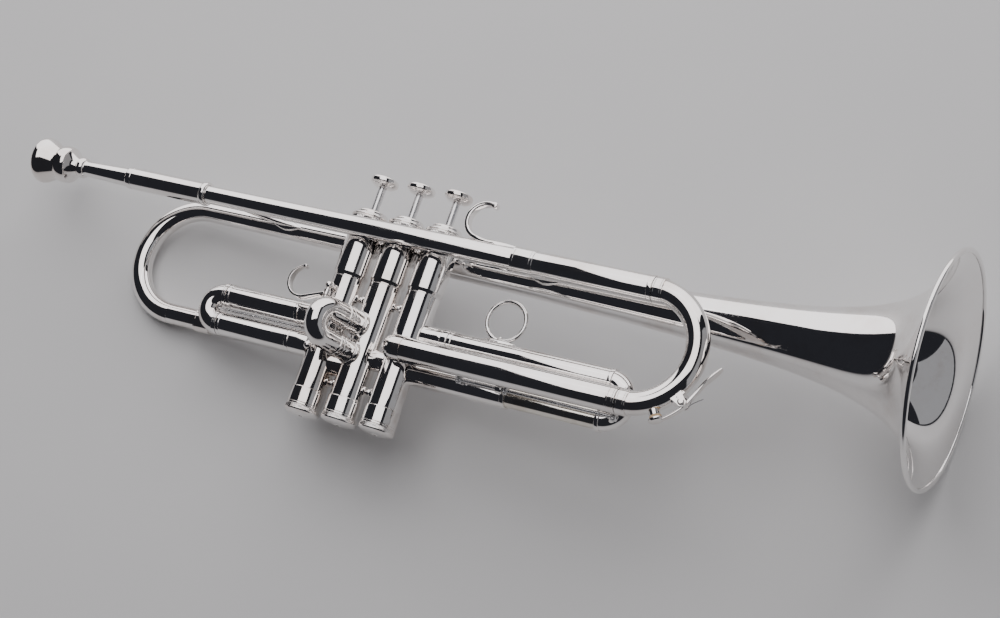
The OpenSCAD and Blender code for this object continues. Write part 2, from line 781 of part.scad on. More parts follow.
mouthpiece();
receiver();
leadpipe();
ferrules();
upper_slide_tube();
lower_slide_tube();
inlet_knuckle();
casing_1();
casing_2();
casing_3();
upper_casings();
crossover_tubes();
casing_studs();
top_caps();
bottom_caps();
cap_felts();
valve_guides();
piston_1();
piston_2();
piston_3();
stem_1();
stem_2();
stem_3();
button_1();
button_2();
button_3();
pearl_1();
pearl_2();
pearl_3();
spring_1();
spring_2();
spring_3();
bell();
bell_rim();
bell_bow();
bell_tail();
tail_knuckle();
rear_brace();
front_brace();
pinky_hook();
slide1_sleeves();
slide1_crook();
slide1_legs();
slide1_rod();
thumb_hook();
slide2_sleeves();
slide2_crook();
slide2_legs();
slide3_fixed_tube();
slide3_low_sleeve();
slide3_sleeve();
slide3_leg();
slide3_crook();
finger_ring();
stop_rod();
main_crook();
main_legs();
key_saddle();
key_lever();
key_cork();
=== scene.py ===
"""Silver-plated trumpet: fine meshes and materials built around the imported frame."""
import json
import math

import bmesh
import bpy
from mathutils import Matrix, Vector


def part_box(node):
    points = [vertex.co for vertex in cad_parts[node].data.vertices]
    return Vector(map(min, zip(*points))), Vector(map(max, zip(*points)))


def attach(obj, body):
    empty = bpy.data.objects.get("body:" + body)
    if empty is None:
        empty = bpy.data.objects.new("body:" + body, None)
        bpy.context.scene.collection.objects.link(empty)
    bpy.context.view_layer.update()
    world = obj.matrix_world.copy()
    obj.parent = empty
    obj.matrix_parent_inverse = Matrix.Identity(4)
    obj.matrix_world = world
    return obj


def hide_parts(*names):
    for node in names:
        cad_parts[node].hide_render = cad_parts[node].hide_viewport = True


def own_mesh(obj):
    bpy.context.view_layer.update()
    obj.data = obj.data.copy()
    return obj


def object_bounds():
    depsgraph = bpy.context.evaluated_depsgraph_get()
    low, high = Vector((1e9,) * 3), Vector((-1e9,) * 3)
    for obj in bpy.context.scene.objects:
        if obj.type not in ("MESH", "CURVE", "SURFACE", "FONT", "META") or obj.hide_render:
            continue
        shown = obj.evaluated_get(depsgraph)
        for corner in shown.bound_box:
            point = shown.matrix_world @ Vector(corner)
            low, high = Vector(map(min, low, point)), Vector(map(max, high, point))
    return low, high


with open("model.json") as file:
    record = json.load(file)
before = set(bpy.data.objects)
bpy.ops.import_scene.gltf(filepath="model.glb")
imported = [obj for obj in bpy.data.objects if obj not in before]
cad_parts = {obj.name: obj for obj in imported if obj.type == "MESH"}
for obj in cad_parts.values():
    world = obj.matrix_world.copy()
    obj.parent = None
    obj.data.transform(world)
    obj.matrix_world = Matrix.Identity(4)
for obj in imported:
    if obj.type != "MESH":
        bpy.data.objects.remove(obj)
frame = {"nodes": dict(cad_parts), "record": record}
cad_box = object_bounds()
nodes = frame["nodes"]

# ---------------------------------------------------------------- the design frame
# The trumpet is worked out in its own frame, in millimetres: x towards the bell, y towards the
# player's left, z up through the buttons, with the middle valve's axis at the origin.
ROLL, PITCH = math.radians(7.05), math.radians(-6.36)
TURN = (Matrix.Rotation(PITCH, 3, "Y") @ Matrix.Rotation(ROLL, 3, "X")
        @ Matrix.Rotation(math.radians(-90), 3, "X"))
RIM_CENTRE = Vector((307.0, 18.0, 31.6))
_lo, _hi = (Vector(c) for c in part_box("bell_rim"))
SHIFT = (_lo + _hi) / 2 - TURN @ RIM_CENTRE / 1000


def row(p):
    """A design point in millimetres as a point of the row frame in metres."""
    return TURN @ (Vector(p) / 1000) + SHIFT


# ---------------------------------------------------------------- mesh helpers
def build(name, verts, faces, crease=38):
    mesh = bpy.data.meshes.new(name)
    mesh.from_pydata([row(v) for v in verts], [], faces)
    bm = bmesh.new()
    bm.from_mesh(mesh)
    bmesh.ops.remove_doubles(bm, verts=bm.verts, dist=1e-7)
    bmesh.ops.recalc_face_normals(bm, faces=bm.faces)
    for f in bm.faces:
        f.smooth = True
    bm.to_mesh(mesh)
    bm.free()
    mesh.set_sharp_from_angle(angle=math.radians(crease))
    ob = bpy.data.objects.new(name, mesh)
    bpy.context.scene.collection.objects.link(ob)
    return ob


class Shape:
    """Collects closed shells in design millimetres, then becomes one object."""

    def __init__(self):
        self.v, self.f = [], []

    def add(self, verts, faces):
        n = len(self.v)
        self.v += [Vector(p) for p in verts]
        self.f += [tuple(n + i for i in f) for f in faces]
        return self

    def done(self, name, material, body, *stands_for, slot=None, crease=38):
        ob = build(name, self.v, self.f, crease)
        ob.data.materials.append(material)
        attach(ob, body)
        if stands_for:
            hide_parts(*stands_for)
        return ob


def soften(outline, size, steps=3):
    """A closed outline with every corner cut back to a small round."""
    out, n = [], len(outline)
    for i in range(n):
        a, b, c = (Vector(outline[(i + k - 1) % n]) for k in range(3))
        da, dc = a - b, c - b
        la, lc = da.length, dc.length
        on_axis = abs(b[1]) < 1e-9
        if on_axis or la < 1e-9 or lc < 1e-9 or da.angle(dc, 0) > math.radians(174):
            out.append(tuple(b))
            continue
        p = b + da / la * min(size, la * 0.45)
        q = b + dc / lc * min(size, lc * 0.45)
        for k in range(steps + 1):
            t = k / steps
            out.append(tuple((1 - t) ** 2 * p + 2 * t * (1 - t) * b + t * t * q))
    return out


def frame_of(axis):
    w = Vector(axis).normalized()
    u = w.orthogonal().normalized()
    return u, w.cross(u), w


def lathe(outline, origin, axis=(1, 0, 0), sides=96, wave=None):
    """A solid of revolution. The outline is closed and given as (along, radius).
    wave(angle, along, radius) gives a new radius, for knurling."""
    u, v, w = frame_of(axis)
    o = Vector(origin)
    verts, rings = [], []
    for along, r in outline:
        if r < 1e-6:
            rings.append([len(verts)])
            verts.append(o + w * along)
            continue
        ring = []
        for k in range(sides):
            a = 2 * math.pi * k / sides
            q = wave(a, along, r) if wave else r
            ring.append(len(verts))
            verts.append(o + w * along + (u * math.cos(a) + v * math.sin(a)) * q)
        rings.append(ring)
    faces = []
    for i, a in enumerate(rings):
        b = rings[(i + 1) % len(rings)]
        if len(a) == 1 and len(b) == 1:
            continue
        for k in range(sides):
            j = (k + 1) % sides
            if len(a) == 1:
                faces.append((a[0], b[k], b[j]))
            elif len(b) == 1:
                faces.append((a[k], b[0], a[j]))
            else:
                faces.append((a[k], b[k], b[j], a[j]))
    return verts, faces


def sweep(path, sections, closed=False, side=None):
    """A closed shell along a path. sections[i] is a list of (a, b) offsets: a along the bend's
    normal, b along the side direction. Without a side direction the frame turns as little as it can."""
    pts = [Vector(p) for p in path]
    n = len(pts)
    verts, rings, last = [], [], None
    for i, p in enumerate(pts):
        if closed:
            t = pts[(i + 1) % n] - pts[i - 1]
        else:
            t = pts[min(i + 1, n - 1)] - pts[max(i - 1, 0)]
        t.normalize()
        if side is not None:
            b = Vector(side)
            b = (b - t * b.dot(t)).normalized()
        elif last is None:
            b = t.orthogonal().normalized()
        else:
            b = (last - t * last.dot(t)).normalized()
        last = b
        a = b.cross(t)
        sec = sections[i] if isinstance(sections[0], list) else sections
        rings.append(list(range(len(verts), len(verts) + len(sec))))
        verts += [p + a * s[0] + b * s[1] for s in sec]
    m = len(rings[0])
    faces = []
    for i in range(n if closed else n - 1):
        r, s = rings[i], rings[(i + 1) % n]
        faces += [(r[k], s[k], s[(k + 1) % m], r[(k + 1) % m]) for k in range(m)]
    if not closed:
        faces += [tuple(reversed(rings[0])), tuple(rings[-1])]
    return verts, faces


def disc(r, sides=48, squash=1.0):
    return [(r * math.cos(2 * math.pi * k / sides), squash * r * math.sin(2 * math.pi * k / sides))
            for k in range(sides)]


def hollow(path, ro, ri, sides=64):
    """A tube along an open path: outer skin, inner skin and two ring-shaped ends."""
    ro = ro if isinstance(ro, list) else [ro] * len(path)
    ov, of = sweep(path, [disc(r, sides) for r in ro])
    iv, inner = sweep(path, [disc(r - (ro[0] - ri), sides) for r in ro])
    of, inner = of[:-2], inner[:-2]
    n = len(ov)
    faces = of + [tuple(reversed([n + i for i in f])) for f in inner]
    last = n - sides
    for base in (0, last):
        for k in range(sides):
            j = (k + 1) % sides
            q = (base + k, base + j, n + base + j, n + base + k)
            faces.append(q if base == 0 else tuple(reversed(q)))
    return ov + iv, faces


def strip(wide, thick, edge=0.35, sides=6):
    """Cross-section of a flat strip with rounded edges: thickness along a, width along b."""
    out = []
    w, t = wide / 2 - edge, thick / 2 - edge
    for ca, cb, start in ((t, w, 0), (-t, w, 90), (-t, -w, 180), (t, -w, 270)):
        for k in range(sides + 1):
            a = math.radians(start + 90 * k / sides)
            out.append((ca + edge * math.cos(a), cb + edge * math.sin(a)))
    return out


def arc(centre, big, a0, a1, steps=48, u=(1, 0, 0), v=(0, 0, 1)):
    c, u, v = Vector(centre), Vector(u), Vector(v)
    angles = [math.radians(a0 + (a1 - a0) * k / steps) for k in range(steps + 1)]
    return [c + (u * math.cos(a) + v * math.sin(a)) * big for a in angles]


def tube(x0, x1, y, z, ro, ri, size=0.12, sides=72):
    return lathe(soften([(0, ri), (0, ro), (x1 - x0, ro), (x1 - x0, ri)], size), (x0, y, z), sides=sides)


def band(x0, x1, y, z, ro, ri, size=0.4, axis=(1, 0, 0), sides=72):
    """A soldered collar with rounded edges."""
    n = x1 - x0
    return lathe(soften([(0, ri), (0, ro), (n, ro), (n, ri)], size, 4), (x0, y, z), axis, sides)


def ferrule(x0, x1, y, z, ro, ri, line=1.1, sides=72):
    """A nearly flush collar with a fine turned line near each end."""
    n, cut = x1 - x0, 0.14
    outline = [(0, ri), (0, ro - 0.15), (0.15, ro), (line - 0.15, ro), (line, ro - cut), (line + 0.15, ro),
               (n - line - 0.15, ro), (n - line, ro - cut), (n - line + 0.15, ro), (n - 0.15, ro),
               (n, ro - 0.15), (n, ri)]
    return lathe(outline, (x0, y, z), sides=sides)


def leaf(x, y, z, face, half_long, half_wide, thick, r_at, steps=28, across=10):
    """A pointed plate lying on a tube along x: centre at x, on the side of the tube that face points to."""
    f = Vector(face).normalized()
    g = Vector((1, 0, 0)).cross(f)
    top, low = [], []
    for i in range(steps + 1):
        t = -1 + 2 * i / steps
        wide = half_wide * max(1 - abs(t) ** 1.7, 0) ** 0.9 + 0.12
        for j in range(across + 1):
            s = -1 + 2 * j / across
            px = x + half_long * t
            r = r_at(px)
            a = s * wide / r
            crown = thick * (1 - s * s) ** 0.5 * (0.35 + 0.65 * max(1 - t * t, 0)) + 0.04
            d = f * math.cos(a) + g * math.sin(a)
            base = Vector((px, y, z))
            top.append(base + d * (r + crown))
            low.append(base + d * (r - 0.25))
    m = across + 1
    n = len(top)
    faces = []
    for i in range(steps):
        for j in range(across):
            q = (i * m + j, i * m + j + 1, (i + 1) * m + j + 1, (i + 1) * m + j)
            faces.append(q)
            faces.append(tuple(n + k for k in reversed(q)))
    rim = ([j for j in range(m)] + [i * m + across for i in range(1, steps + 1)]
           + [steps * m + j for j in range(across - 1, -1, -1)] + [i * m for i in range(steps - 1, 0, -1)])
    for k, a in enumerate(rim):
        b = rim[(k + 1) % len(rim)]
        faces.append((a, n + a, n + b, b))
    return top + low, faces


def coil(centre, axis, z0, z1, big, wire, turns):
    """A round wire of radius wire wound about an axis, from height z0 to z1."""
    u, v, w = frame_of(axis)
    c = Vector(centre)
    n = int(turns * 28)
    path = []
    for k in range(n + 1):
        a = 2 * math.pi * turns * k / n
        path.append(c + (u * math.cos(a) + v * math.sin(a)) * big + w * (z0 + (z1 - z0) * k / n))
    return sweep(path, disc(wire, 12))


# ---------------------------------------------------------------- materials
def nodes_of(name):
    mat = bpy.data.materials.new(name)
    mat.use_nodes = True
    tree = mat.node_tree
    shader = tree.nodes["Principled BSDF"]
    return mat, tree, shader


def link(tree, a, b):
    tree.links.new(a, b)


def noise(tree, scale, detail=4.0, rough=0.55, stretch=None, kind="ShaderNodeTexNoise"):
    """Noise in object coordinates, in metres; stretch squeezes it along the axes."""
    coord = tree.nodes.new("ShaderNodeTexCoord")
    tex = tree.nodes.new(kind)
    tex.inputs["Scale"].default_value = scale
    if "Detail" in tex.inputs:
        tex.inputs["Detail"].default_value = detail
        tex.inputs["Roughness"].default_value = rough
    src = coord.outputs["Object"]
    if stretch:
        mapping = tree.nodes.new("ShaderNodeMapping")
        mapping.inputs["Scale"].default_value = stretch
        mapping.inputs["Rotation"].default_value = (ROLL, PITCH, 0)
        link(tree, src, mapping.inputs["Vector"])
        src = mapping.outputs["Vector"]
    link(tree, src, tex.inputs["Vector"])
    return tex


def ramp(tree, source, stops):
    node = tree.nodes.new("ShaderNodeValToRGB")
    els = node.color_ramp.elements
    while len(els) < len(stops):
        els.new(0.5)
    for el, (pos, value) in zip(els, stops):
        el.position = pos
        el.color = (*value, 1) if isinstance(value, tuple) else (value, value, value, 1)
    link(tree, source, node.inputs["Fac"])
    return node.outputs["Color"]


def bump(tree, shader, sources, distance=0.0004):
    """Chains bump nodes: sources is a list of (height socket, strength)."""
    last = None
    for height, strength in sources:
        node = tree.nodes.new("ShaderNodeBump")
        node.inputs["Strength"].default_value = strength
        node.inputs["Distance"].default_value = distance
        link(tree, height, node.inputs["Height"])
        if last:
            link(tree, last, node.inputs["Normal"])
        last = node.outputs["Normal"]
    link(tree, last, shader.inputs["Normal"])


def plated(name, light, tint, dull, rough=(0.03, 0.09), tarnish=0.5, wipe=(1, 1, 1), scratch=0.05):
    """Polished plate: clouds of faint tarnish, wiped streaks and fine hairlines."""
    mat, tree, shader = nodes_of(name)
    shader.inputs["Metallic"].default_value = 1.0
    cloud = noise(tree, 28, 5, 0.6)
    fine = noise(tree, 240, 3, 0.5)
    both = tree.nodes.new("ShaderNodeMath")
    both.operation = "MULTIPLY_ADD"
    both.inputs[1].default_value = 0.3
    link(tree, fine.outputs["Fac"], both.inputs[0])
    link(tree, cloud.outputs["Fac"], both.inputs[2])
    colour = ramp(tree, both.outputs[0], [(0.42, light), (0.62 + 0.1 * (1 - tarnish), tint), (0.86, dull)])
    link(tree, colour, shader.inputs["Base Color"])
    streak = noise(tree, 900, 2, 0.5, wipe)
    smear = noise(tree, 60, 4, 0.65)
    mixed = tree.nodes.new("ShaderNodeMath")
    mixed.operation = "MULTIPLY"
    link(tree, streak.outputs["Fac"], mixed.inputs[0])
    link(tree, smear.outputs["Fac"], mixed.inputs[1])
    spread = tree.nodes.new("ShaderNodeMapRange")
    spread.inputs["From Min"].default_value = 0.15
    spread.inputs["From Max"].default_value = 0.42
    spread.inputs["To Min"].default_value = rough[0]
    spread.inputs["To Max"].default_value = rough[1]
    link(tree, mixed.outputs[0], spread.inputs["Value"])
    link(tree, spread.outputs["Result"], shader.inputs["Roughness"])
    bump(tree, shader, [(streak.outputs["Fac"], scratch), (cloud.outputs["Fac"], scratch * 0.6)], 0.00005)
    return mat


ALONG = (0.04, 1, 1)
UPRIGHT = (1, 0.05, 1)
silver = plated("silver_plate", (0.93, 0.915, 0.90), (0.90, 0.87, 0.85), (0.80, 0.74, 0.70), wipe=ALONG)
silver_up = plated("silver_plate_valves", (0.93, 0.915, 0.90), (0.89, 0.86, 0.84), (0.78, 0.71, 0.66),
                   rough=(0.035, 0.11), wipe=UPRIGHT)
silver_bell = plated("silver_plate_bell", (0.935, 0.92, 0.91), (0.91, 0.885, 0.87), (0.83, 0.78, 0.75),
                     rough=(0.025, 0.07), wipe=(1, 1, 1), scratch=0.035)
warm = plated("nickel_silver", (0.86, 0.84, 0.79), (0.82, 0.78, 0.71), (0.70, 0.64, 0.56),
              rough=(0.06, 0.16), wipe=ALONG)
steel = plated("polished_steel", (0.80, 0.80, 0.81), (0.76, 0.755, 0.76), (0.66, 0.645, 0.64),
               rough=(0.2, 0.34), wipe=UPRIGHT, scratch=0.08)
spring_wire = plated("spring_steel", (0.60, 0.60, 0.63), (0.55, 0.55, 0.57), (0.42, 0.38, 0.36),
                     rough=(0.16, 0.32), scratch=0.1)


def make_monel():
    """Lapped piston skin: fine rings round the piston over a dull grey metal."""
    mat, tree, shader = nodes_of("monel")
    shader.inputs["Metallic"].default_value = 1.0
    rings = noise(tree, 2600, 2, 0.5, (0.05, 1, 0.05))
    cloud = noise(tree, 90, 4, 0.6)
    link(tree, ramp(tree, cloud.outputs["Fac"], [(0.35, (0.62, 0.61, 0.58)), (0.7, (0.5, 0.485, 0.46))]),
         shader.inputs["Base Color"])
    link(tree, ramp(tree, rings.outputs["Fac"], [(0.3, 0.2), (0.7, 0.36)]), shader.inputs["Roughness"])
    bump(tree, shader, [(rings.outputs["Fac"], 0.2)], 0.0001)
    return mat


def make_pearl():
    """Mother of pearl: wavy growth bands with pale pink and green between cream."""
    mat, tree, shader = nodes_of("pearl")
    warp = noise(tree, 160, 3, 0.6)
    bands = tree.nodes.new("ShaderNodeTexWave")
    bands.inputs["Scale"].default_value = 190
    bands.inputs["Distortion"].default_value = 9
    bands.inputs["Detail"].default_value = 3
    link(tree, warp.outputs["Color"], bands.inputs["Vector"])
    link(tree, ramp(tree, bands.outputs["Fac"], [(0.1, (0.93, 0.91, 0.87)), (0.4, (0.90, 0.83, 0.82)),
                                                 (0.65, (0.82, 0.89, 0.85)), (0.95, (0.95, 0.94, 0.92))]),
         shader.inputs["Base Color"])
    link(tree, ramp(tree, warp.outputs["Fac"], [(0.3, 0.12), (0.7, 0.28)]), shader.inputs["Roughness"])
    shader.inputs["Coat Weight"].default_value = 0.6
    shader.inputs["Coat Roughness"].default_value = 0.05
    shader.inputs["Sheen Weight"].default_value = 0.15
    bump(tree, shader, [(bands.outputs["Fac"], 0.08)], 0.0001)
    return mat


def make_felt():
    mat, tree, shader = nodes_of("felt")
    fibre = noise(tree, 3200, 5, 0.75)
    patch = noise(tree, 300, 3, 0.5)
    link(tree, ramp(tree, fibre.outputs["Fac"], [(0.3, (0.05, 0.045, 0.05)), (0.7, (0.16, 0.15, 0.165))]),
         shader.inputs["Base Color"])
    link(tree, ramp(tree, patch.outputs["Fac"], [(0.3, 0.85), (0.7, 0.98)]), shader.inputs["Roughness"])
    shader.inputs["Sheen Weight"].default_value = 0.5
    shader.inputs["Specular IOR Level"].default_value = 0.2
    bump(tree, shader, [(fibre.outputs["Fac"], 0.9)], 0.0003)
    return mat


def make_cork():
    mat, tree, shader = nodes_of("cork")
    grain = noise(tree, 900, 2, 0.5, kind="ShaderNodeTexVoronoi")
    speck = noise(tree, 1500, 4, 0.7)
    link(tree, ramp(tree, speck.outputs["Fac"], [(0.3, (0.28, 0.16, 0.08)), (0.45, (0.62, 0.44, 0.26)),
                                                 (0.75, (0.74, 0.56, 0.36))]), shader.inputs["Base Color"])
    link(tree, ramp(tree, grain.outputs["Distance"], [(0.1, 0.65), (0.6, 0.9)]), shader.inputs["Roughness"])
    shader.inputs["Specular IOR Level"].default_value = 0.25
    bump(tree, shader, [(grain.outputs["Distance"], 0.5), (speck.outputs["Fac"], 0.4)], 0.0003)
    return mat


monel, pearl, felt, cork = make_monel(), make_pearl(), make_felt(), make_cork()
by_slot = {"silver_plate": silver, "silver_bell": silver_bell, "nickel_silver": warm, "monel": monel,
           "polished_steel": steel, "spring_steel": spring_wire, "pearl": pearl, "felt": felt, "cork": cork}
UPRIGHT_NODES = ("casing_studs", "crossover_tubes", "valve_guides", "inlet_knuckle", "tail_knuckle")
for part in frame["record"]["subparts"]:
    ob = nodes[part["node"]]
    ob.data.materials.clear()
    ob.data.materials.append(silver_up if part["node"] in UPRIGHT_NODES else by_slot[part["material_slot"]])

# ---------------------------------------------------------------- main stations, as in the CAD
WALL = 0.7
PITCH_V = 23.8                       # distance between valve axes
CASE_R, UP_R, BORE = 9.5, 10.1, 8.5
CASE_BOT, JOINT, CASE_TOP, CAP_TOP = -66.0, 5.5, 41.0, 45.8
BUTTON_Z, BUTTON_R = 61.2, 8.1
LEAD_Y, LEAD_Z, LOW_Z = -16.0, 31.8, -30.0
BELL_Y, BELL_Z, BELL_X, BELL_R = 18.0, 31.6, 306.8, 61.5
TAIL_Y, TAIL_Z, TAIL_R, REAR_X = 15.5, -34.0, 6.05, -137.5
S1_UP, S1_LO, S1_END = -19.4, -36.0, -92.8
S2_UP, S2_LO, S2_SLEEVE, S2_MID = -20.3, -36.3, 19.5, 31.0
S3_UP, S3_LO, S3_MID, S3_SLEEVE = -17.0, -38.0, 145.0, 92.0
CROOK_X, BOW_R, MAIN_R, SLEEVE_R, LEG_R = 160.6, 6.4, 7.0, 6.6, 5.85
MID_Z, BIG = (LEAD_Z + LOW_Z) / 2, (LEAD_Z - LOW_Z) / 2
RECV_X, LEAD_IN, CUP_X = -176.5, -121.0, -240.6
GAP = 0.05


def valve_x(i):
    return (i - 2) * PITCH_V


def bell_r(x):
    return BELL_R * (15 / (BELL_X - x + 15)) ** 0.68


def lead_r(x):
    return 5.2 if x < LEAD_IN else 5.2 + 1.1 * (x - LEAD_IN) / (90 - LEAD_IN)


# ---------------------------------------------------------------- blowing end
cup = [(1, 8.4), (0.3, 9.4), (0, 10.6), (0.25, 11.9), (0.9, 12.9), (2.1, 13.5), (4, 13.5),
       (5.6, 13), (7.6, 11.9), (10, 10.7), (12, 9.9), (13.6, 9.5)]
cup += [(18.2 - 4 * math.cos(math.radians(a)), 9.4 + 1.5 * math.sin(math.radians(a)))
        for a in range(0, 181, 12)]
cup += [(23.4, 7.6), (25, 5.9), (26.6, 5)]
cup += [(30 - 2.6 * math.cos(math.radians(a)), 4.7 + 1.5 * math.sin(math.radians(a)))
        for a in range(0, 181, 12)]
cup += [(34, 4.5), (62, 5.45), (87, 4.85), (87, 4.05), (40, 2.4), (26, 1.85), (22, 1.85),
        (19.5, 2.9), (16.5, 5.4), (12, 7.2), (6, 8.1)]
Shape().add(*lathe(soften(cup, 1.1, 4), (CUP_X, LEAD_Y, LEAD_Z), sides=128)).done(
    "mouthpiece_turned", silver, "mouthpiece", "mouthpiece", slot="silver_plate", crease=55)

rl, seat = LEAD_IN - RECV_X, CUP_X + 87.4 - RECV_X
Shape().add(*lathe(soften([
    (0, 5.5), (0, 5.9), (0.7, 6.4), (3.6, 6.4), (3.75, 6.25), (3.9, 6.4),
    (rl - 3.2, 6.4), (rl - 2.8, 6.75), (rl - 2.2, 6.95), (rl - 1.0, 6.95), (rl - 0.4, 6.75),
    (rl, 6.4), (rl, 5.2),
    (seat + 2, 5.2),
    (seat + 2, 4.9), (seat, 4.9)], 0.35), (RECV_X, LEAD_Y, LEAD_Z))).done(
    "receiver_barrel", silver, "horn", "receiver", slot="silver_plate")
Shape().add(*lathe(soften([(0, 5.2), (150 + LEAD_IN, 5.2), (240, 6.3), (240, 5.7), (0, 4.5)], 0.1),
                   (-150, LEAD_Y, LEAD_Z))).done("leadpipe_tube", silver, "horn", "leadpipe",
                                                 slot="silver_plate")
fer = Shape().add(*ferrule(77, 90, LEAD_Y, LEAD_Z, 7.25, MAIN_R - 0.05, line=1.6))
fer.add(*ferrule(-118, -108, TAIL_Y, TAIL_Z, 6.75, TAIL_R - 0.05, line=1.4))
fer.done("line_ferrules", silver, "horn", "ferrules", slot="silver_plate")

# ---------------------------------------------------------------- main tuning slide
up = Shape().add(*tube(77, 90, LEAD_Y, LEAD_Z, MAIN_R, 6.3)).add(*tube(90, 159, LEAD_Y, LEAD_Z,
                                                                       MAIN_R, LEG_R + GAP))
up.add(*band(156.4, 159, LEAD_Y, LEAD_Z, MAIN_R + 0.22, MAIN_R - 0.1))
up.done("upper_main_sleeve", silver, "horn", "upper_slide_tube", slot="silver_plate")
low = Shape().add(*tube(32, 159, LEAD_Y, LOW_Z, MAIN_R, LEG_R + GAP))
low.add(*ferrule(154, 158.9, LEAD_Y, LOW_Z, MAIN_R + 0.2, MAIN_R - 0.3))
low.done("lower_main_sleeve", silver, "horn", "lower_slide_tube", slot="silver_plate")

crook = Shape().add(*hollow(arc((CROOK_X, LEAD_Y, MID_Z), BIG, -90, 90, 120), BOW_R, 5.85, 72))
for z in (LEAD_Z, LOW_Z):
    crook.add(*ferrule(159.3, 165, LEAD_Y, z, MAIN_R + 0.05, 5.85))
KEY_CUP, KEY_PIN = math.radians(-59.6), math.radians(-37.4)
KEY_R, CUP_R = BIG + BOW_R + 3.5, BIG + 8.6


def at_crook(a, r, y=0.0):
    return Vector((CROOK_X + r * math.cos(a), LEAD_Y + y, MID_Z + r * math.sin(a)))


out = at_crook(KEY_CUP, 1) - at_crook(KEY_CUP, 0)
crook.add(*lathe(soften([(BIG + 4.4, 1.5), (BIG + 4.4, 3.6), (BIG + 6.6, 3.2), (BIG + 8.5, 3.0),
                         (BIG + 8.6, 2.7),
                         (BIG + 8.6, 1.5)], 0.3), at_crook(KEY_CUP, 0), out, sides=56))
crook.done("main_slide_bow", silver, "main_slide", "main_crook", slot="silver_plate")
legs = Shape()
for z in (LEAD_Z, LOW_Z):
    legs.add(*tube(102, 159.3, LEAD_Y, z, LEG_R, LEG_R - 0.5))
legs.done("main_slide_inner_legs", warm, "main_slide", "main_legs", slot="nickel_silver")

# ---------------------------------------------------------------- bell
span = BELL_X - REAR_X
xs = [BELL_X - span * (1 - k / 130) ** 2.2 for k in range(131)]
skin = [(x - REAR_X, bell_r(x)) for x in xs]
lining = []
for x in reversed(xs[1:]):
    slope = bell_r(x) * 0.68 / (BELL_X - x + 15)
    h = math.hypot(1, slope)
    lining.append((x - REAR_X + WALL * slope / h, bell_r(x) - WALL / h))
lining.append((0, bell_r(REAR_X) - WALL))
Shape().add(*lathe(skin + lining, (REAR_X, BELL_Y, BELL_Z), sides=192)).done(
    "bell_flare", silver_bell, "horn", "bell", slot="silver_bell", crease=60)
rim = [(1.5 * math.cos(math.pi * k / 12), 61.5 + 1.5 * math.sin(math.pi * k / 12)) for k in range(24)]
Shape().add(*lathe(rim, (BELL_X + 0.2, BELL_Y, BELL_Z), sides=192)).done(
    "bell_rim_bead", silver_bell, "horn", "bell_rim", slot="silver_plate")
drop, lean = BELL_Z - TAIL_Z, BELL_Y - TAIL_Y
tilt = Vector((0, lean, drop)).normalized()
bow = Shape().add(*hollow(arc((REAR_X, (BELL_Y + TAIL_Y) / 2, (BELL_Z + TAIL_Z) / 2),
                              math.hypot(drop, lean) / 2,
                              90, 270, 140, v=tilt), bell_r(REAR_X), bell_r(REAR_X) - WALL, 72))
bow.done("bell_bow_bend", silver, "horn", "bell_bow", slot="silver_plate")
Shape().add(*tube(REAR_X, -26.6, TAIL_Y, TAIL_Z, TAIL_R, TAIL_R - WALL)).done(
    "bell_tail_tube", silver, "horn", "bell_tail", slot="silver_plate")

# ---------------------------------------------------------------- valve block
for i in (1, 2, 3):
    x = valve_x(i)
    shell = Shape().add(*lathe(soften([(CASE_BOT, BORE), (CASE_BOT, CASE_R), (JOINT - 0.5, CASE_R),
                                       (JOINT - 0.5, BORE)], 0.2), (x, 0, 0), (0, 0, 1), 96))
    shell.done("lower_casing_%d" % i, silver_up, "horn", "casing_%d" % i, slot="silver_plate")


def knurl(count, depth, lo, hi):
    """Fine vertical ribs round a band of a cap."""
    def wave(a, along, r):
        inside = lo < along < hi
        return r - depth * (0.5 + 0.5 * math.cos(a * count)) if inside else r
    return wave


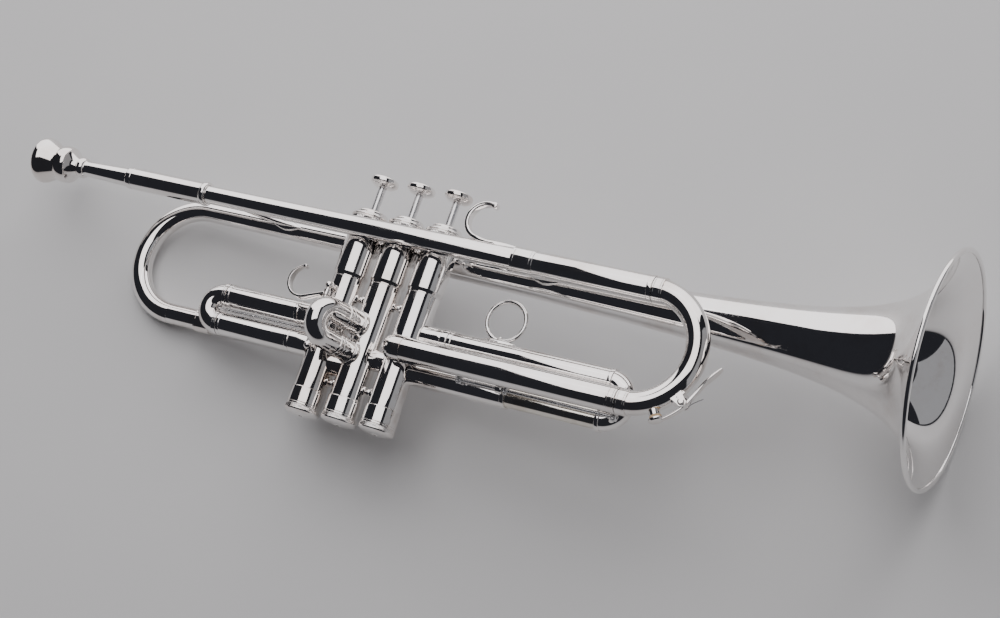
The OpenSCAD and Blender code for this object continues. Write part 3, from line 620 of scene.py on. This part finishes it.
upper, tops, bottoms = Shape(), Shape(), Shape()
for i in (1, 2, 3):
    o = (valve_x(i), 0, 0)
    upper.add(*lathe(soften([(5, BORE), (5, 9.35), (5.7, 9.35), (7.3, 10.0), (7.6, UP_R), (33, UP_R),
                             (CASE_TOP, UP_R), (CASE_TOP, BORE)], 0.12), o, (0, 0, 1), 96))
    rows = [(36.8, UP_R), (36.8, 10.9), (37.2, 11.3)]
    rows += [(37.4 + 0.5 * k, 11.3) for k in range(7)]
    rows += [(40.8, 11.3), (41.2, 10.9), (41.6, 11.3), (42.2, 11.25), (42.7, 10.9), (43.0, 10.0),
             (43.2, 9.2),
             (43.6, 8.8), (44.3, 8.8), (44.8, 8.68), (45.2, 8.4), (45.5, 8.0), (45.7, 7.5), (CAP_TOP, 6.9),
             (CAP_TOP, 4), (45.2, 3.4), (45.2, 2.6), (43, 2.6), (43, 7.9), (42, 8.9), (CASE_TOP, 8.9),
             (CASE_TOP, UP_R)]
    tops.add(*lathe(soften(rows, 0.22), o, (0, 0, 1), 288, knurl(72, 0.22, 37.3, 40.5)))
    rows = [(-75.9, 1.2), (-75.9, 1.9), (-75.6, 2.3), (-75.75, 2.9), (-75.7, 4.2), (-75.5, 6.2),
            (-75.1, 8.0),
            (-74.7, 9.1), (-74.2, 9.85), (-73.6, 10.15)]
    rows += [(-73.4 + 0.35 * k, 10.15) for k in range(6)]
    rows += [(-71.3, 10.1), (-71.1, 9.75), (-70.9, 10.0), (-70.1, 10.0), (-69.9, 9.7),
             (-69.7, 9.95), (-61.4, 9.95),
             (-61, 9.75), (-61, CASE_R), (CASE_BOT, CASE_R), (CASE_BOT, BORE), (-71.5, BORE), (-71.5, 1.2)]
    bottoms.add(*lathe(soften(rows, 0.18), o, (0, 0, 1), 288, knurl(96, 0.12, -73.5, -71.5)))
upper.done("upper_casing_tubes", silver_up, "horn", "upper_casings", slot="silver_plate")
tops.done("top_caps_knurled", silver_up, "horn", "top_caps", slot="silver_plate")
bottoms.done("bottom_caps_knurled", silver_up, "horn", "bottom_caps", slot="silver_plate")

for i in (1, 2, 3):
    o, r, z = (valve_x(i), 0, 0), BUTTON_R, BUTTON_Z
    Shape().add(*lathe(soften([(39.5, 0), (39.5, 1.9), (41, 1.9), (41, 4.2), (42, 4.2), (42.4, 2.2),
                               (43.4, 2.2),
                               (z + 2, 2.2), (z + 2, 0)], 0.2), o, (0, 0, 1), 56)).done(
        "stem_%d_turned" % i, steel, "valve_%d" % i, "stem_%d" % i, slot="polished_steel")
    side = [(z, 2.2), (z, 3.4), (z + 0.25, 3.9), (z + 0.35, r - 3.2), (z + 0.6, r - 2.2),
            (z + 1.1, r - 1.3),
            (z + 1.55, r - 0.95), (z + 1.7, r - 0.5), (z + 2.1, r - 0.15), (z + 2.7, r), (z + 3.8, r),
            (z + 4.4, r - 0.12), (z + 4.85, r - 0.4), (z + 5.1, r - 0.85), (z + 5.1, r - 1.2),
            (z + 4.8, r - 1.5),
            (z + 4, r - 1.5), (z + 4, 0), (z + 2, 0), (z + 2, 2.2)]
    Shape().add(*lathe(soften(side, 0.25, 4), o, (0, 0, 1), 96)).done(
        "button_%d_turned" % i, silver_up, "valve_%d" % i, "button_%d" % i, slot="silver_plate", crease=50)
    r = BUTTON_R - 1.5
    dish = [(z + 4, 0), (z + 4, r), (z + 4.6, r), (z + 4.82, r - 0.35), (z + 4.9, r - 0.9),
            (z + 4.88, r - 1.6),
            (z + 4.75, r / 2), (z + 4.7, 0)]
    Shape().add(*lathe(soften(dish, 0.3), o, (0, 0, 1), 72)).done(
        "pearl_%d_inlay" % i, pearl, "valve_%d" % i, "pearl_%d" % i, slot="pearl")

# Return springs: each stands on its fixed guide below its piston, as a coil fixed to the horn.
SPRING_LOW, SPRING_TOP, STROKE = 12.3, 38.8, 14.5
SPRING_R, SPRING_WIRE, SPRING_TURNS = 6.0, 0.5, 7
for i in (1, 2, 3):
    spring = Shape().add(*coil((valve_x(i), 0, 0), (0, 0, 1), SPRING_LOW, SPRING_TOP,
                              SPRING_R, SPRING_WIRE, SPRING_TURNS)).done(
        "spring_%d_coiled" % i, spring_wire, "horn", "spring_%d" % i, slot="spring_steel", crease=60)
    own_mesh(spring)

# ---------------------------------------------------------------- braces
def s_brace(name, x0, node):
    """An S rod between leadpipe and bell, with a pointed leaf at each foot."""
    xb = x0 + 27
    ra, rb = lead_r(x0), bell_r(xb + 2)
    ya, yb = LEAD_Y + ra + 1.2, BELL_Y - rb - 1.2
    z = (LEAD_Z + BELL_Z) / 2
    path, secs, steps = [], [], 64
    for k in range(steps + 1):
        t = k / steps
        q = t * t * (3 - 2 * t)
        path.append((x0 - 6 + 41 * t, ya + (yb - ya) * q, z))
        thick = 0.35 + 1.45 * min(1, 4.5 * min(t, 1 - t)) ** 0.6
        secs.append(disc(thick, 28))
    piece = Shape().add(*sweep(path, secs, side=(0, 0, 1)))
    piece.add(*leaf(x0 + 1.2, LEAD_Y, LEAD_Z, (0, 1, 0), 9.2, 3.2, 1.5, lead_r))
    piece.add(*leaf(xb + 3, BELL_Y, BELL_Z, (0, -1, 0), 9.5, 3.2, 1.5, bell_r))
    piece.done(name, silver, "horn", node, slot="silver_plate", crease=50)


s_brace("rear_brace_s", -112, "rear_brace")
s_brace("front_brace_s", 56, "front_brace")

# ---------------------------------------------------------------- little-finger hook
hx, hz, hr = 53.0, LEAD_Z + 6.9 + 10.2, 10.2
path = arc((hx, LEAD_Y, hz), hr, 75, 258, 60)
secs = [strip(6 - 1.2 * (1 - k / 60), 2.5, 0.8) for k in range(61)]
p, end = path[-1], Vector((hx + 8.5, LEAD_Y, LEAD_Z + 6.3))
for k in range(1, 9):
    t = k / 8
    path.append(p.lerp(end, t) + Vector((0, 0, -0.5 * math.sin(math.pi * t))))
    secs.append(strip(6 - 0.6 * t, 2.5 - 1.2 * t, 0.5))
pinky = Shape().add(*sweep(path, secs, side=(0, 1, 0)))
tip = Vector((hx + hr * math.cos(math.radians(75)), LEAD_Y - 2.35, hz + hr * math.sin(math.radians(75))))
pinky.add(*lathe(soften([(0, 0), (0, 1.7), (4.7, 1.7), (4.7, 0)], 0.6), tip, (0, 1, 0), 40))
pinky.add(*leaf(hx + 9.5, LEAD_Y, LEAD_Z, (0, 0, 1), 14, 3.4, 1.7, lead_r))
pinky.done("little_finger_hook", silver, "horn", "pinky_hook", slot="silver_plate", crease=50)

# ---------------------------------------------------------------- first slide, its pull rod and thumb hook
piece = Shape()
for z in (S1_UP, S1_LO):
    piece.add(*tube(S1_END, valve_x(1) - 8.9, 0, z, SLEEVE_R, LEG_R + GAP))
    piece.add(*band(-46.6, -44.4, 0, z, 6.95, LEG_R + 0.4))
    piece.add(*band(S1_END, S1_END + 2.2, 0, z, SLEEVE_R + 0.25, LEG_R + 0.2))
piece.done("slide1_outer_sleeves", silver, "horn", "slide1_sleeves", slot="silver_plate")

cx, s1_mid, s1_bend = S1_END - 2.6, (S1_UP + S1_LO) / 2, (S1_UP - S1_LO) / 2
piece = Shape().add(*hollow(arc((cx, 0, s1_mid), s1_bend, 90, 270, 96), 6.3, LEG_R, 72))
for z in (S1_UP, S1_LO):
    piece.add(*ferrule(cx - 0.2, S1_END - 0.3, 0, z, 6.9, LEG_R, line=0.7))
piece.done("slide1_bow", silver, "slide_1", "slide1_crook", slot="silver_plate")
piece = Shape()
for z in (S1_UP, S1_LO):
    piece.add(*tube(S1_END - 2.6, -36, 0, z, LEG_R, LEG_R - 0.5))
piece.done("slide1_inner_legs", warm, "slide_1", "slide1_legs", slot="nickel_silver")

px, py = -27.5, -12.0
path = [Vector((S1_END - 9.0, 0, s1_mid)), Vector((-44, 0, s1_mid))]
path = [path[0].lerp(path[1], k / 6) for k in range(6)]
a, b, c = Vector((-44, 0, s1_mid)), Vector((-39, 0, s1_mid)), Vector((px - 0.9, py + 0.9, s1_mid))
path += [(1 - t) ** 2 * a + 2 * t * (1 - t) * b + t * t * (b.lerp(c, 0.4))
         for t in (0, 0.2, 0.4, 0.6, 0.8, 1)]
path += [b.lerp(c, 0.4 + 0.6 * k / 4) for k in range(1, 5)]
piece = Shape().add(*sweep(path, disc(1.0, 28), side=(0, 0, 1)))
piece.add(*lathe(soften([(0, 0.9), (0, 1.25), (2.4, 1.25), (2.4, 0.9)], 0.2), (-76, 0, s1_mid), sides=32))
piece.done("slide1_pull_rod", steel, "slide_1", "slide1_rod", slot="polished_steel", crease=50)

top, lowest, post_r, ball_r = -3.2, -38.8, 1.3, 2.4
edge = math.degrees(math.asin(post_r / ball_r))


def ball_arc(c, r, a0, a1, steps=14):
    return [(c - r * math.cos(math.radians(a0 + (a1 - a0) * k / steps)),
             r * math.sin(math.radians(a0 + (a1 - a0) * k / steps))) for k in range(steps + 1)]


outline = ball_arc(lowest, ball_r, 0, 180 - edge)
outline += [(s1_mid - 1.8, post_r), (s1_mid - 1.5, 1.9), (s1_mid + 1.5, 1.9),
            (s1_mid + 1.8, post_r), (-9.4, post_r),
            (-9.1, 2), (-6.3, 2), (-6, post_r)]
outline += ball_arc(top, ball_r, edge, 180)
piece = Shape().add(*lathe(outline, (px, py, 0), (0, 0, 1), 48))
hx1, hz1, hr1, tilt = -43.3, -4.6, 9.0, 21.7
path = arc((hx1, py, hz1), hr1, 105, 270 + tilt, 64)
t0 = (path[-1] - path[-2]).normalized()
path += [path[-1] + t0 * 12.6 * k / 8 for k in range(1, 9)]
secs = [strip(3.4 + 1.6 * min(1, k / 22), 1.5, 0.45) for k in range(len(path))]
piece.add(*sweep(path, secs, side=(0, 1, 0)))
tip = Vector((hx1 + hr1 * math.cos(math.radians(105)), py - 2, hz1 + hr1 * math.sin(math.radians(105))))
piece.add(*lathe(soften([(0, 0), (0, 1.1), (4, 1.1), (4, 0)], 0.45), tip, (0, 1, 0), 32))
piece.done("thumb_hook_and_post", silver, "slide_1", "thumb_hook", slot="silver_plate", crease=50)

# ---------------------------------------------------------------- second slide, turned towards the back
s2_dir = Vector((-math.sin(math.radians(20)), -math.cos(math.radians(20)), 0))


def on2(u, z):
    return s2_dir * u + Vector((0, 0, z))


piece = Shape()
for z in (S2_UP, S2_LO):
    piece.add(*lathe(soften([(9.0, LEG_R + GAP), (9.0, SLEEVE_R), (S2_SLEEVE, SLEEVE_R),
                             (S2_SLEEVE, LEG_R + GAP)], 0.12), on2(0, z), s2_dir, 72))
    piece.add(*lathe(soften([(CASE_R - 0.6, SLEEVE_R - 0.1), (CASE_R - 0.6, 7.2), (CASE_R + 2, 7.2),
                             (CASE_R + 2, SLEEVE_R - 0.1)], 0.5, 4), on2(0, z), s2_dir, 72))
    piece.add(*lathe(soften([(S2_SLEEVE - 2.2, SLEEVE_R - 0.1), (S2_SLEEVE - 2.2, 6.95), (S2_SLEEVE, 6.95),
                             (S2_SLEEVE, SLEEVE_R - 0.1)], 0.4, 4), on2(0, z), s2_dir, 72))
piece.done("slide2_outer_sleeves", silver, "horn", "slide2_sleeves", slot="silver_plate")
s2_mid, s2_bend = (S2_UP + S2_LO) / 2, (S2_UP - S2_LO) / 2
start = S2_SLEEVE + 0.3
path = [on2(start + (S2_MID - start) * k / 6, S2_LO) for k in range(6)]
path += arc(on2(S2_MID, s2_mid), s2_bend, -90, 90, 72, u=s2_dir)
path += [on2(S2_MID - (S2_MID - start) * k / 6, S2_UP) for k in range(1, 7)]
piece = Shape().add(*hollow(path, 6.3, LEG_R, 72))
for z in (S2_UP, S2_LO):
    piece.add(*lathe(soften([(start, 6.2), (start, 6.9), (start + 2.4, 6.9), (start + 2.4, 6.2)], 0.5, 4),
                     on2(0, z), s2_dir, 72))
piece.add(*lathe([(S2_LO + 5.6, 0), (S2_LO + 5.6, 1.9), (S2_LO + 6.4, 1.35), (S2_LO + 7.2, 1.1),
                  (S2_UP - 7.2, 1.1),
                  (S2_UP - 6.4, 1.35), (S2_UP - 5.6, 1.9), (S2_UP - 5.6, 0)], on2(S2_MID - 1, 0),
                  (0, 0, 1), 32))
piece.done("slide2_bow", silver, "slide_2", "slide2_crook", slot="silver_plate", crease=50)
piece = Shape()
for z in (S2_UP, S2_LO):
    piece.add(*lathe(soften([(CASE_R + 0.2, LEG_R - 0.5), (CASE_R + 0.2, LEG_R), (S2_MID, LEG_R),
                             (S2_MID, LEG_R - 0.5)], 0.12), on2(0, z), s2_dir, 72))
piece.done("slide2_inner_legs", warm, "slide_2", "slide2_legs", slot="nickel_silver")

# ---------------------------------------------------------------- third slide, finger ring and stop rod
ROD_Y, ROD_Z, LUG_X = -9.4, -37.2, 88.0
piece = Shape().add(*tube(valve_x(3) + 8.9, 132, 0, S3_UP, LEG_R, LEG_R - 0.5))
piece.add(*tube(valve_x(3) + 8.9, 48.9, 0, S3_UP, 6.6, LEG_R - 0.2))
piece.add(*band(44.9, 48.9, 0, S3_UP, 6.95, 6.5))
piece.done("slide3_inner_upper_tube", silver, "horn", "slide3_fixed_tube", slot="nickel_silver")
piece = Shape().add(*tube(valve_x(3) + 8.9, S3_SLEEVE, 0, S3_LO, SLEEVE_R, LEG_R + GAP))
piece.add(*band(S3_SLEEVE - 2.4, S3_SLEEVE, 0, S3_LO, 6.95, SLEEVE_R - 0.1))
piece.add(*lathe(soften([(0, 1.05), (0, 2.4), (4, 2.4), (4, 1.05)], 0.5, 4), (LUG_X, ROD_Y, ROD_Z),
                 sides=40))
piece.add(*sweep([(LUG_X + 2, ROD_Y + 1.6, ROD_Z), (LUG_X + 2, -6.0, ROD_Z),
                  (LUG_X + 2, -5.2, ROD_Z - 0.1)],
                 [strip(3.6, 1.9, 0.5), strip(4.0, 2.4, 0.6), strip(5.2, 3.8, 0.8)], side=(1, 0, 0)))
piece.done("slide3_lower_sleeve", silver, "horn", "slide3_low_sleeve", slot="silver_plate", crease=50)
piece = Shape().add(*tube(49.2, S3_MID, 0, S3_UP, SLEEVE_R, LEG_R + GAP))
piece.add(*band(49.2, 51.6, 0, S3_UP, SLEEVE_R + 0.3, SLEEVE_R - 0.1))
piece.done("slide3_upper_sleeve", silver, "slide_3", "slide3_sleeve", slot="silver_plate")
Shape().add(*tube(38, S3_MID, 0, S3_LO, LEG_R, LEG_R - 0.5)).done(
    "slide3_lower_leg", warm, "slide_3", "slide3_leg", slot="nickel_silver")
s3_mid, s3_bend = (S3_UP + S3_LO) / 2, (S3_UP - S3_LO) / 2
piece = Shape().add(*hollow(arc((S3_MID, 0, s3_mid), s3_bend, -90, 90, 96), 6.4, 5.5, 72))
for z in (S3_UP, S3_LO):
    piece.add(*band(S3_MID - 0.1, S3_MID + 2.4, 0, z, 7.1, 5.9, 0.6))
piece.add(*lathe(soften([(-9.6, 0), (-9.6, 1.4), (-7.0, 1.4), (-5.6, 1.9), (-4.6, 2.6), (-4.6, 0)], 0.4),
                 (S3_MID + 8.6, 0, ROD_Z), (0, 1, 0), 40))
piece.done("slide3_bow", silver, "slide_3", "slide3_crook", slot="silver_plate", crease=50)

RING_X, RING_R, WIRE = 76.4, 11.2, 1.25
ring_z = S3_UP + SLEEVE_R + 0.9 + RING_R
loop = arc((RING_X, 0, ring_z), RING_R, 0, 360, 144)[:-1]
piece = Shape().add(*sweep(loop, disc(WIRE, 32), closed=True, side=(0, 1, 0)))


def sleeve3(_x):
    return SLEEVE_R


piece.add(*leaf(RING_X, 0, S3_UP, (0, 0, 1), 9.6, 3.0, 1.5, sleeve3))
foot = [(0, 2.9), (0.5, 2.2), (1.0, 1.8), (1.7, 1.5), (2.2, 1.3)]
piece.add(*lathe([(SLEEVE_R + 0.3, 0)] + [(SLEEVE_R + 0.5 + h, r) for h, r in foot] + [(SLEEVE_R + 2.9, 0)],
                 (RING_X, 0, S3_UP), (0, 0, 1), 40))
piece.done("finger_ring_and_saddle", silver, "slide_3", "finger_ring", slot="silver_plate", crease=50)


def nut(x0, x1, r):
    """A knurled lock nut on the stop rod."""
    rows = [(0, 0.9), (0, r - 0.3), (0.3, r)] + [(0.3 + (x1 - x0 - 0.6) * k / 5, r) for k in range(1, 5)]
    rows += [(x1 - x0 - 0.3, r), (x1 - x0, r - 0.3), (x1 - x0, 0.9)]
    return lathe(rows, (x0, ROD_Y, ROD_Z), (1, 0, 0), 144, knurl(24, 0.16, 0.35, x1 - x0 - 0.35))


def thread(x0, x1, r):
    """Fine screw thread on the stop rod's end."""
    n = int((x1 - x0) / 0.16)
    rows = [(0, 0)] + [(0.16 * k, r - (0.13 if k % 3 == 0 else 0)) for k in range(n + 1)] + [(0.16 * n, 0)]
    return lathe(rows, (x0, ROD_Y, ROD_Z), (1, 0, 0), 32)


piece = Shape().add(*lathe(soften([(0, 0), (0, 1), (S3_MID + 12 - LUG_X + 12, 1),
                                   (S3_MID + 12 - LUG_X + 12, 0)], 0.25),
                           (LUG_X - 12, ROD_Y, ROD_Z), sides=32))
piece.add(*thread(LUG_X - 24, LUG_X - 11.9, 1.0))
piece.add(*nut(LUG_X - 23.6, LUG_X - 20.3, 2.2))
piece.add(*nut(LUG_X + 4.6, LUG_X + 7, 2.2))
piece.add(*nut(S3_MID + 10.2, S3_MID + 13.2, 2.3))
piece.done("stop_rod_threaded", steel, "slide_3", "stop_rod", slot="polished_steel", crease=50)

# ---------------------------------------------------------------- water key: saddle, lever, cork and spring
pin = at_crook(KEY_PIN, KEY_R)
piece = Shape()
radial = (at_crook(KEY_PIN, 1) - at_crook(KEY_PIN, 0)).normalized()
along = Vector((-radial.z, 0, radial.x))
for side in (-3.4, 3.4):
    cheek = []
    for k in range(33):
        a = math.radians(-100 + 200 * k / 32)
        cheek.append(radial * 2.3 * math.cos(a) + along * 2.3 * math.sin(a))
    cheek += [along * 3.4 - radial * 5.2, -along * 3.4 - radial * 5.2]
    n = len(cheek)
    verts = [pin + c + Vector((0, side - 0.7, 0)) for c in cheek]
    verts += [pin + c + Vector((0, side + 0.7, 0)) for c in cheek]
    faces = [tuple(range(n)), tuple(reversed(range(n, 2 * n)))]
    faces += [(k, n + k, n + (k + 1) % n, (k + 1) % n) for k in range(n)]
    piece.add(verts, faces)
base = []
for k in range(9):
    a = KEY_PIN + math.radians(-6.5 + 13 * k / 8)
    base.append(at_crook(a, BIG + BOW_R + 0.15))
piece.add(*sweep(base, [strip(8.4 - 1.2 * abs(k - 4) / 4, 1.7, 0.5) for k in range(9)], side=(0, 1, 0)))
piece.add(*lathe(soften([(-5.5, 0), (-5.5, 1.2), (-5.2, 1.8), (-4.1, 1.9), (-4.1, 1.0), (4.6, 1.0),
                         (4.9, 0.6), (4.9, 0)], 0.2),
                 pin, (0, 1, 0), 40))
piece.done("water_key_saddle", silver, "main_slide", "key_saddle", slot="silver_plate", crease=40)

cup_r = CUP_R + 2
piece = Shape().add(*lathe(soften([(-2.5, 1.05), (-2.5, 2.1), (2.5, 2.1), (2.5, 1.05)], 0.3), pin,
                           (0, 1, 0), 48))
piece.add(*lathe(soften([(cup_r - 0.5, 3.5), (cup_r - 0.5, 4.15), (cup_r + 0.4, 4.2), (cup_r + 1.1, 3.6),
                         (cup_r + 1.5, 2.4), (cup_r + 1.5, 0), (cup_r, 0), (cup_r, 3.5)], 0.2),
                 at_crook(KEY_CUP, 0), out, sides=56))
path = [at_crook(KEY_CUP + (KEY_PIN - KEY_CUP) * k / 24, cup_r + 0.75) for k in range(25)]
secs = [strip(2.6 + 1.4 * k / 24, 1.5, 0.45) for k in range(25)]
piece.add(*sweep(path, secs, side=(0, 1, 0)))
lever_at = at_crook(KEY_PIN, cup_r + 0.75)


def lever_dir(extra):
    """Unit vector along the lever beyond the pin, bent towards the tube by extra degrees."""
    a = math.radians(extra)
    return along * math.cos(a) - radial * math.sin(a)


LEVER_BEND, TIP_BEND = 12, 2  # degrees towards the tube, of the arm and of its touch piece
mid = lever_at + lever_dir(LEVER_BEND) * 15
far = mid + lever_dir(TIP_BEND) * 11.6
path = [lever_at - along * 1.0]
path += [lever_at + lever_dir(LEVER_BEND) * reach for reach in (2, 8, 13)]
path += [mid + (far - mid) * k / 6 for k in range(7)]
secs = [strip(w, t, 0.4) for w, t in ((4.0, 1.5), (3.6, 1.6), (3.2, 1.6), (3.6, 1.5), (4.2, 1.4),
                                      (4.8, 1.3),
                                      (5.2, 1.2), (5.3, 1.2), (5.1, 1.1), (4.4, 1.0), (3.2, 0.9))]
piece.add(*sweep(path, secs, side=(0, 1, 0)))
piece.done("water_key_lever", silver, "water_key", "key_lever", slot="silver_plate", crease=50)
Shape().add(*lathe(soften([(CUP_R, 0), (CUP_R, 3.2), (CUP_R + 1.9, 3.4), (CUP_R + 1.9, 0)], 0.35),
                   at_crook(KEY_CUP, 0), out,
                   sides=48)).done("water_key_cork", cork, "water_key", "key_cork", slot="cork")

# a torsion spring wound on the water key's pin: two coils and one leg under the lever
spring = Shape()
for side in (-1, 1):
    spring.add(*coil(pin + Vector((0, side * 2.62, 0)), (0, 1, 0), -0.12, 0.12, 1.62, 0.22, 1.5))
reach = [pin + radial * 1.62 + Vector((0, 2.6, 0)), pin + radial * 1.9 + along * 3 + Vector((0, 2.0, 0)),
         pin + radial * 3.2 + along * 7 + Vector((0, 1.2, 0)),
         pin + radial * 4.2 + along * 9.5 + Vector((0, 0.9, 0))]
spring.add(*sweep(reach, disc(0.22, 12), side=(0, 1, 0)))
spring.done("water_key_spring", spring_wire, "main_slide", slot="spring_steel", crease=60)

# ---------------------------------------------------------------- floor, light and camera
FLOOR_GAP = 0.0004


def plain_floor():
    mat, tree, shader = nodes_of("studio_floor")
    grain = noise(tree, 6, 3, 0.5)
    link(tree, ramp(tree, grain.outputs["Fac"], [(0.3, (0.70, 0.70, 0.705)), (0.7, (0.73, 0.73, 0.73))]),
         shader.inputs["Base Color"])
    link(tree, ramp(tree, grain.outputs["Fac"], [(0.3, 0.62), (0.7, 0.7)]), shader.inputs["Roughness"])
    shader.inputs["Specular IOR Level"].default_value = 0.25
    mesh = bpy.data.meshes.new("studio_floor")
    bm = bmesh.new()
    bmesh.ops.create_grid(bm, x_segments=4, y_segments=4, size=6.0)
    bm.to_mesh(mesh)
    bm.free()
    mesh.materials.append(mat)
    ob = bpy.data.objects.new("studio_floor", mesh)
    ob.location = (0, 0, -FLOOR_GAP)
    bpy.context.scene.collection.objects.link(ob)


plain_floor()
centre = Vector([(a + b) / 2 for a, b in zip(*cad_box)])


def panel(name, place, toward, wide, high, radiance, colour=(1, 1, 1)):
    """A soft, even rectangular light.

    place is its middle, toward is the way it faces away from, radiance is the light it gives.
    """
    data = bpy.data.lights.new(name, "AREA")
    data.shape = "RECTANGLE"
    data.size, data.size_y = wide, high
    data.energy = radiance * math.pi * wide * high
    data.color = colour
    ob = bpy.data.objects.new(name, data)
    z = Vector(toward).normalized()
    x = Vector((0, 0, 1)).cross(z) if abs(z.z) < 0.99 else Vector((0.956, 0.292, 0))
    x.normalize()
    ob.matrix_world = Matrix.Translation(place) @ Matrix((x, z.cross(x), z)).transposed().to_4x4()
    ob.visible_camera = False
    bpy.context.scene.collection.objects.link(ob)


# One tall soft wall behind the buttons, one soft ceiling over it, and a dim wall beyond the bell.
WALL_SIDE, FAR_SIDE = Vector((-0.292, 0.956, 0)), Vector((0.982, 0.190, 0))
SOFT_WHITE, SOFT_LIGHT = (1.0, 0.975, 0.985), 2.1
panel("wall_light", centre + WALL_SIDE * 1.3 + Vector((0, 0, 1.0)), WALL_SIDE,
      2.9, 2.1, SOFT_LIGHT, SOFT_WHITE)
panel("ceiling_light", centre + WALL_SIDE * 0.35 + Vector((0, 0, 1.75)), (0, 0, 1),
      1.7, 1.6, SOFT_LIGHT, SOFT_WHITE)
panel("far_fill", centre + FAR_SIDE * 1.9 + Vector((0, 0, 1.0)), FAR_SIDE, 2.6, 2.0, 0.3, (0.95, 0.96, 1.0))

world = bpy.data.worlds.new("studio")
bpy.context.scene.world = world
world.use_nodes = True
world.node_tree.nodes["Background"].inputs["Color"].default_value = (0.02, 0.021, 0.026, 1)
world.node_tree.nodes["Background"].inputs["Strength"].default_value = 1.0

# The camera stands where the photographer's did, worked out in the design frame.
EYE, AIM = row((585.8, -1031.8, -261.5)), row((70.2, 0.0, 7.7))
UP = TURN @ Vector((-0.1970, -0.3385, 0.9202))
SENSOR = 36
FOCAL = 2209.35 / 1000 * SENSOR  # from the fitted camera
back = (EYE - AIM).normalized()
right = UP.cross(back).normalized()
up = back.cross(right)
lens = bpy.data.cameras.new("photo_camera")
lens.lens, lens.sensor_width, lens.clip_start = FOCAL, SENSOR, 0.01
camera = bpy.data.objects.new("photo_camera", lens)
camera.matrix_world = Matrix.Translation(EYE) @ Matrix((right, up, back)).transposed().to_4x4()
bpy.context.scene.collection.objects.link(camera)
bpy.context.scene.camera = camera
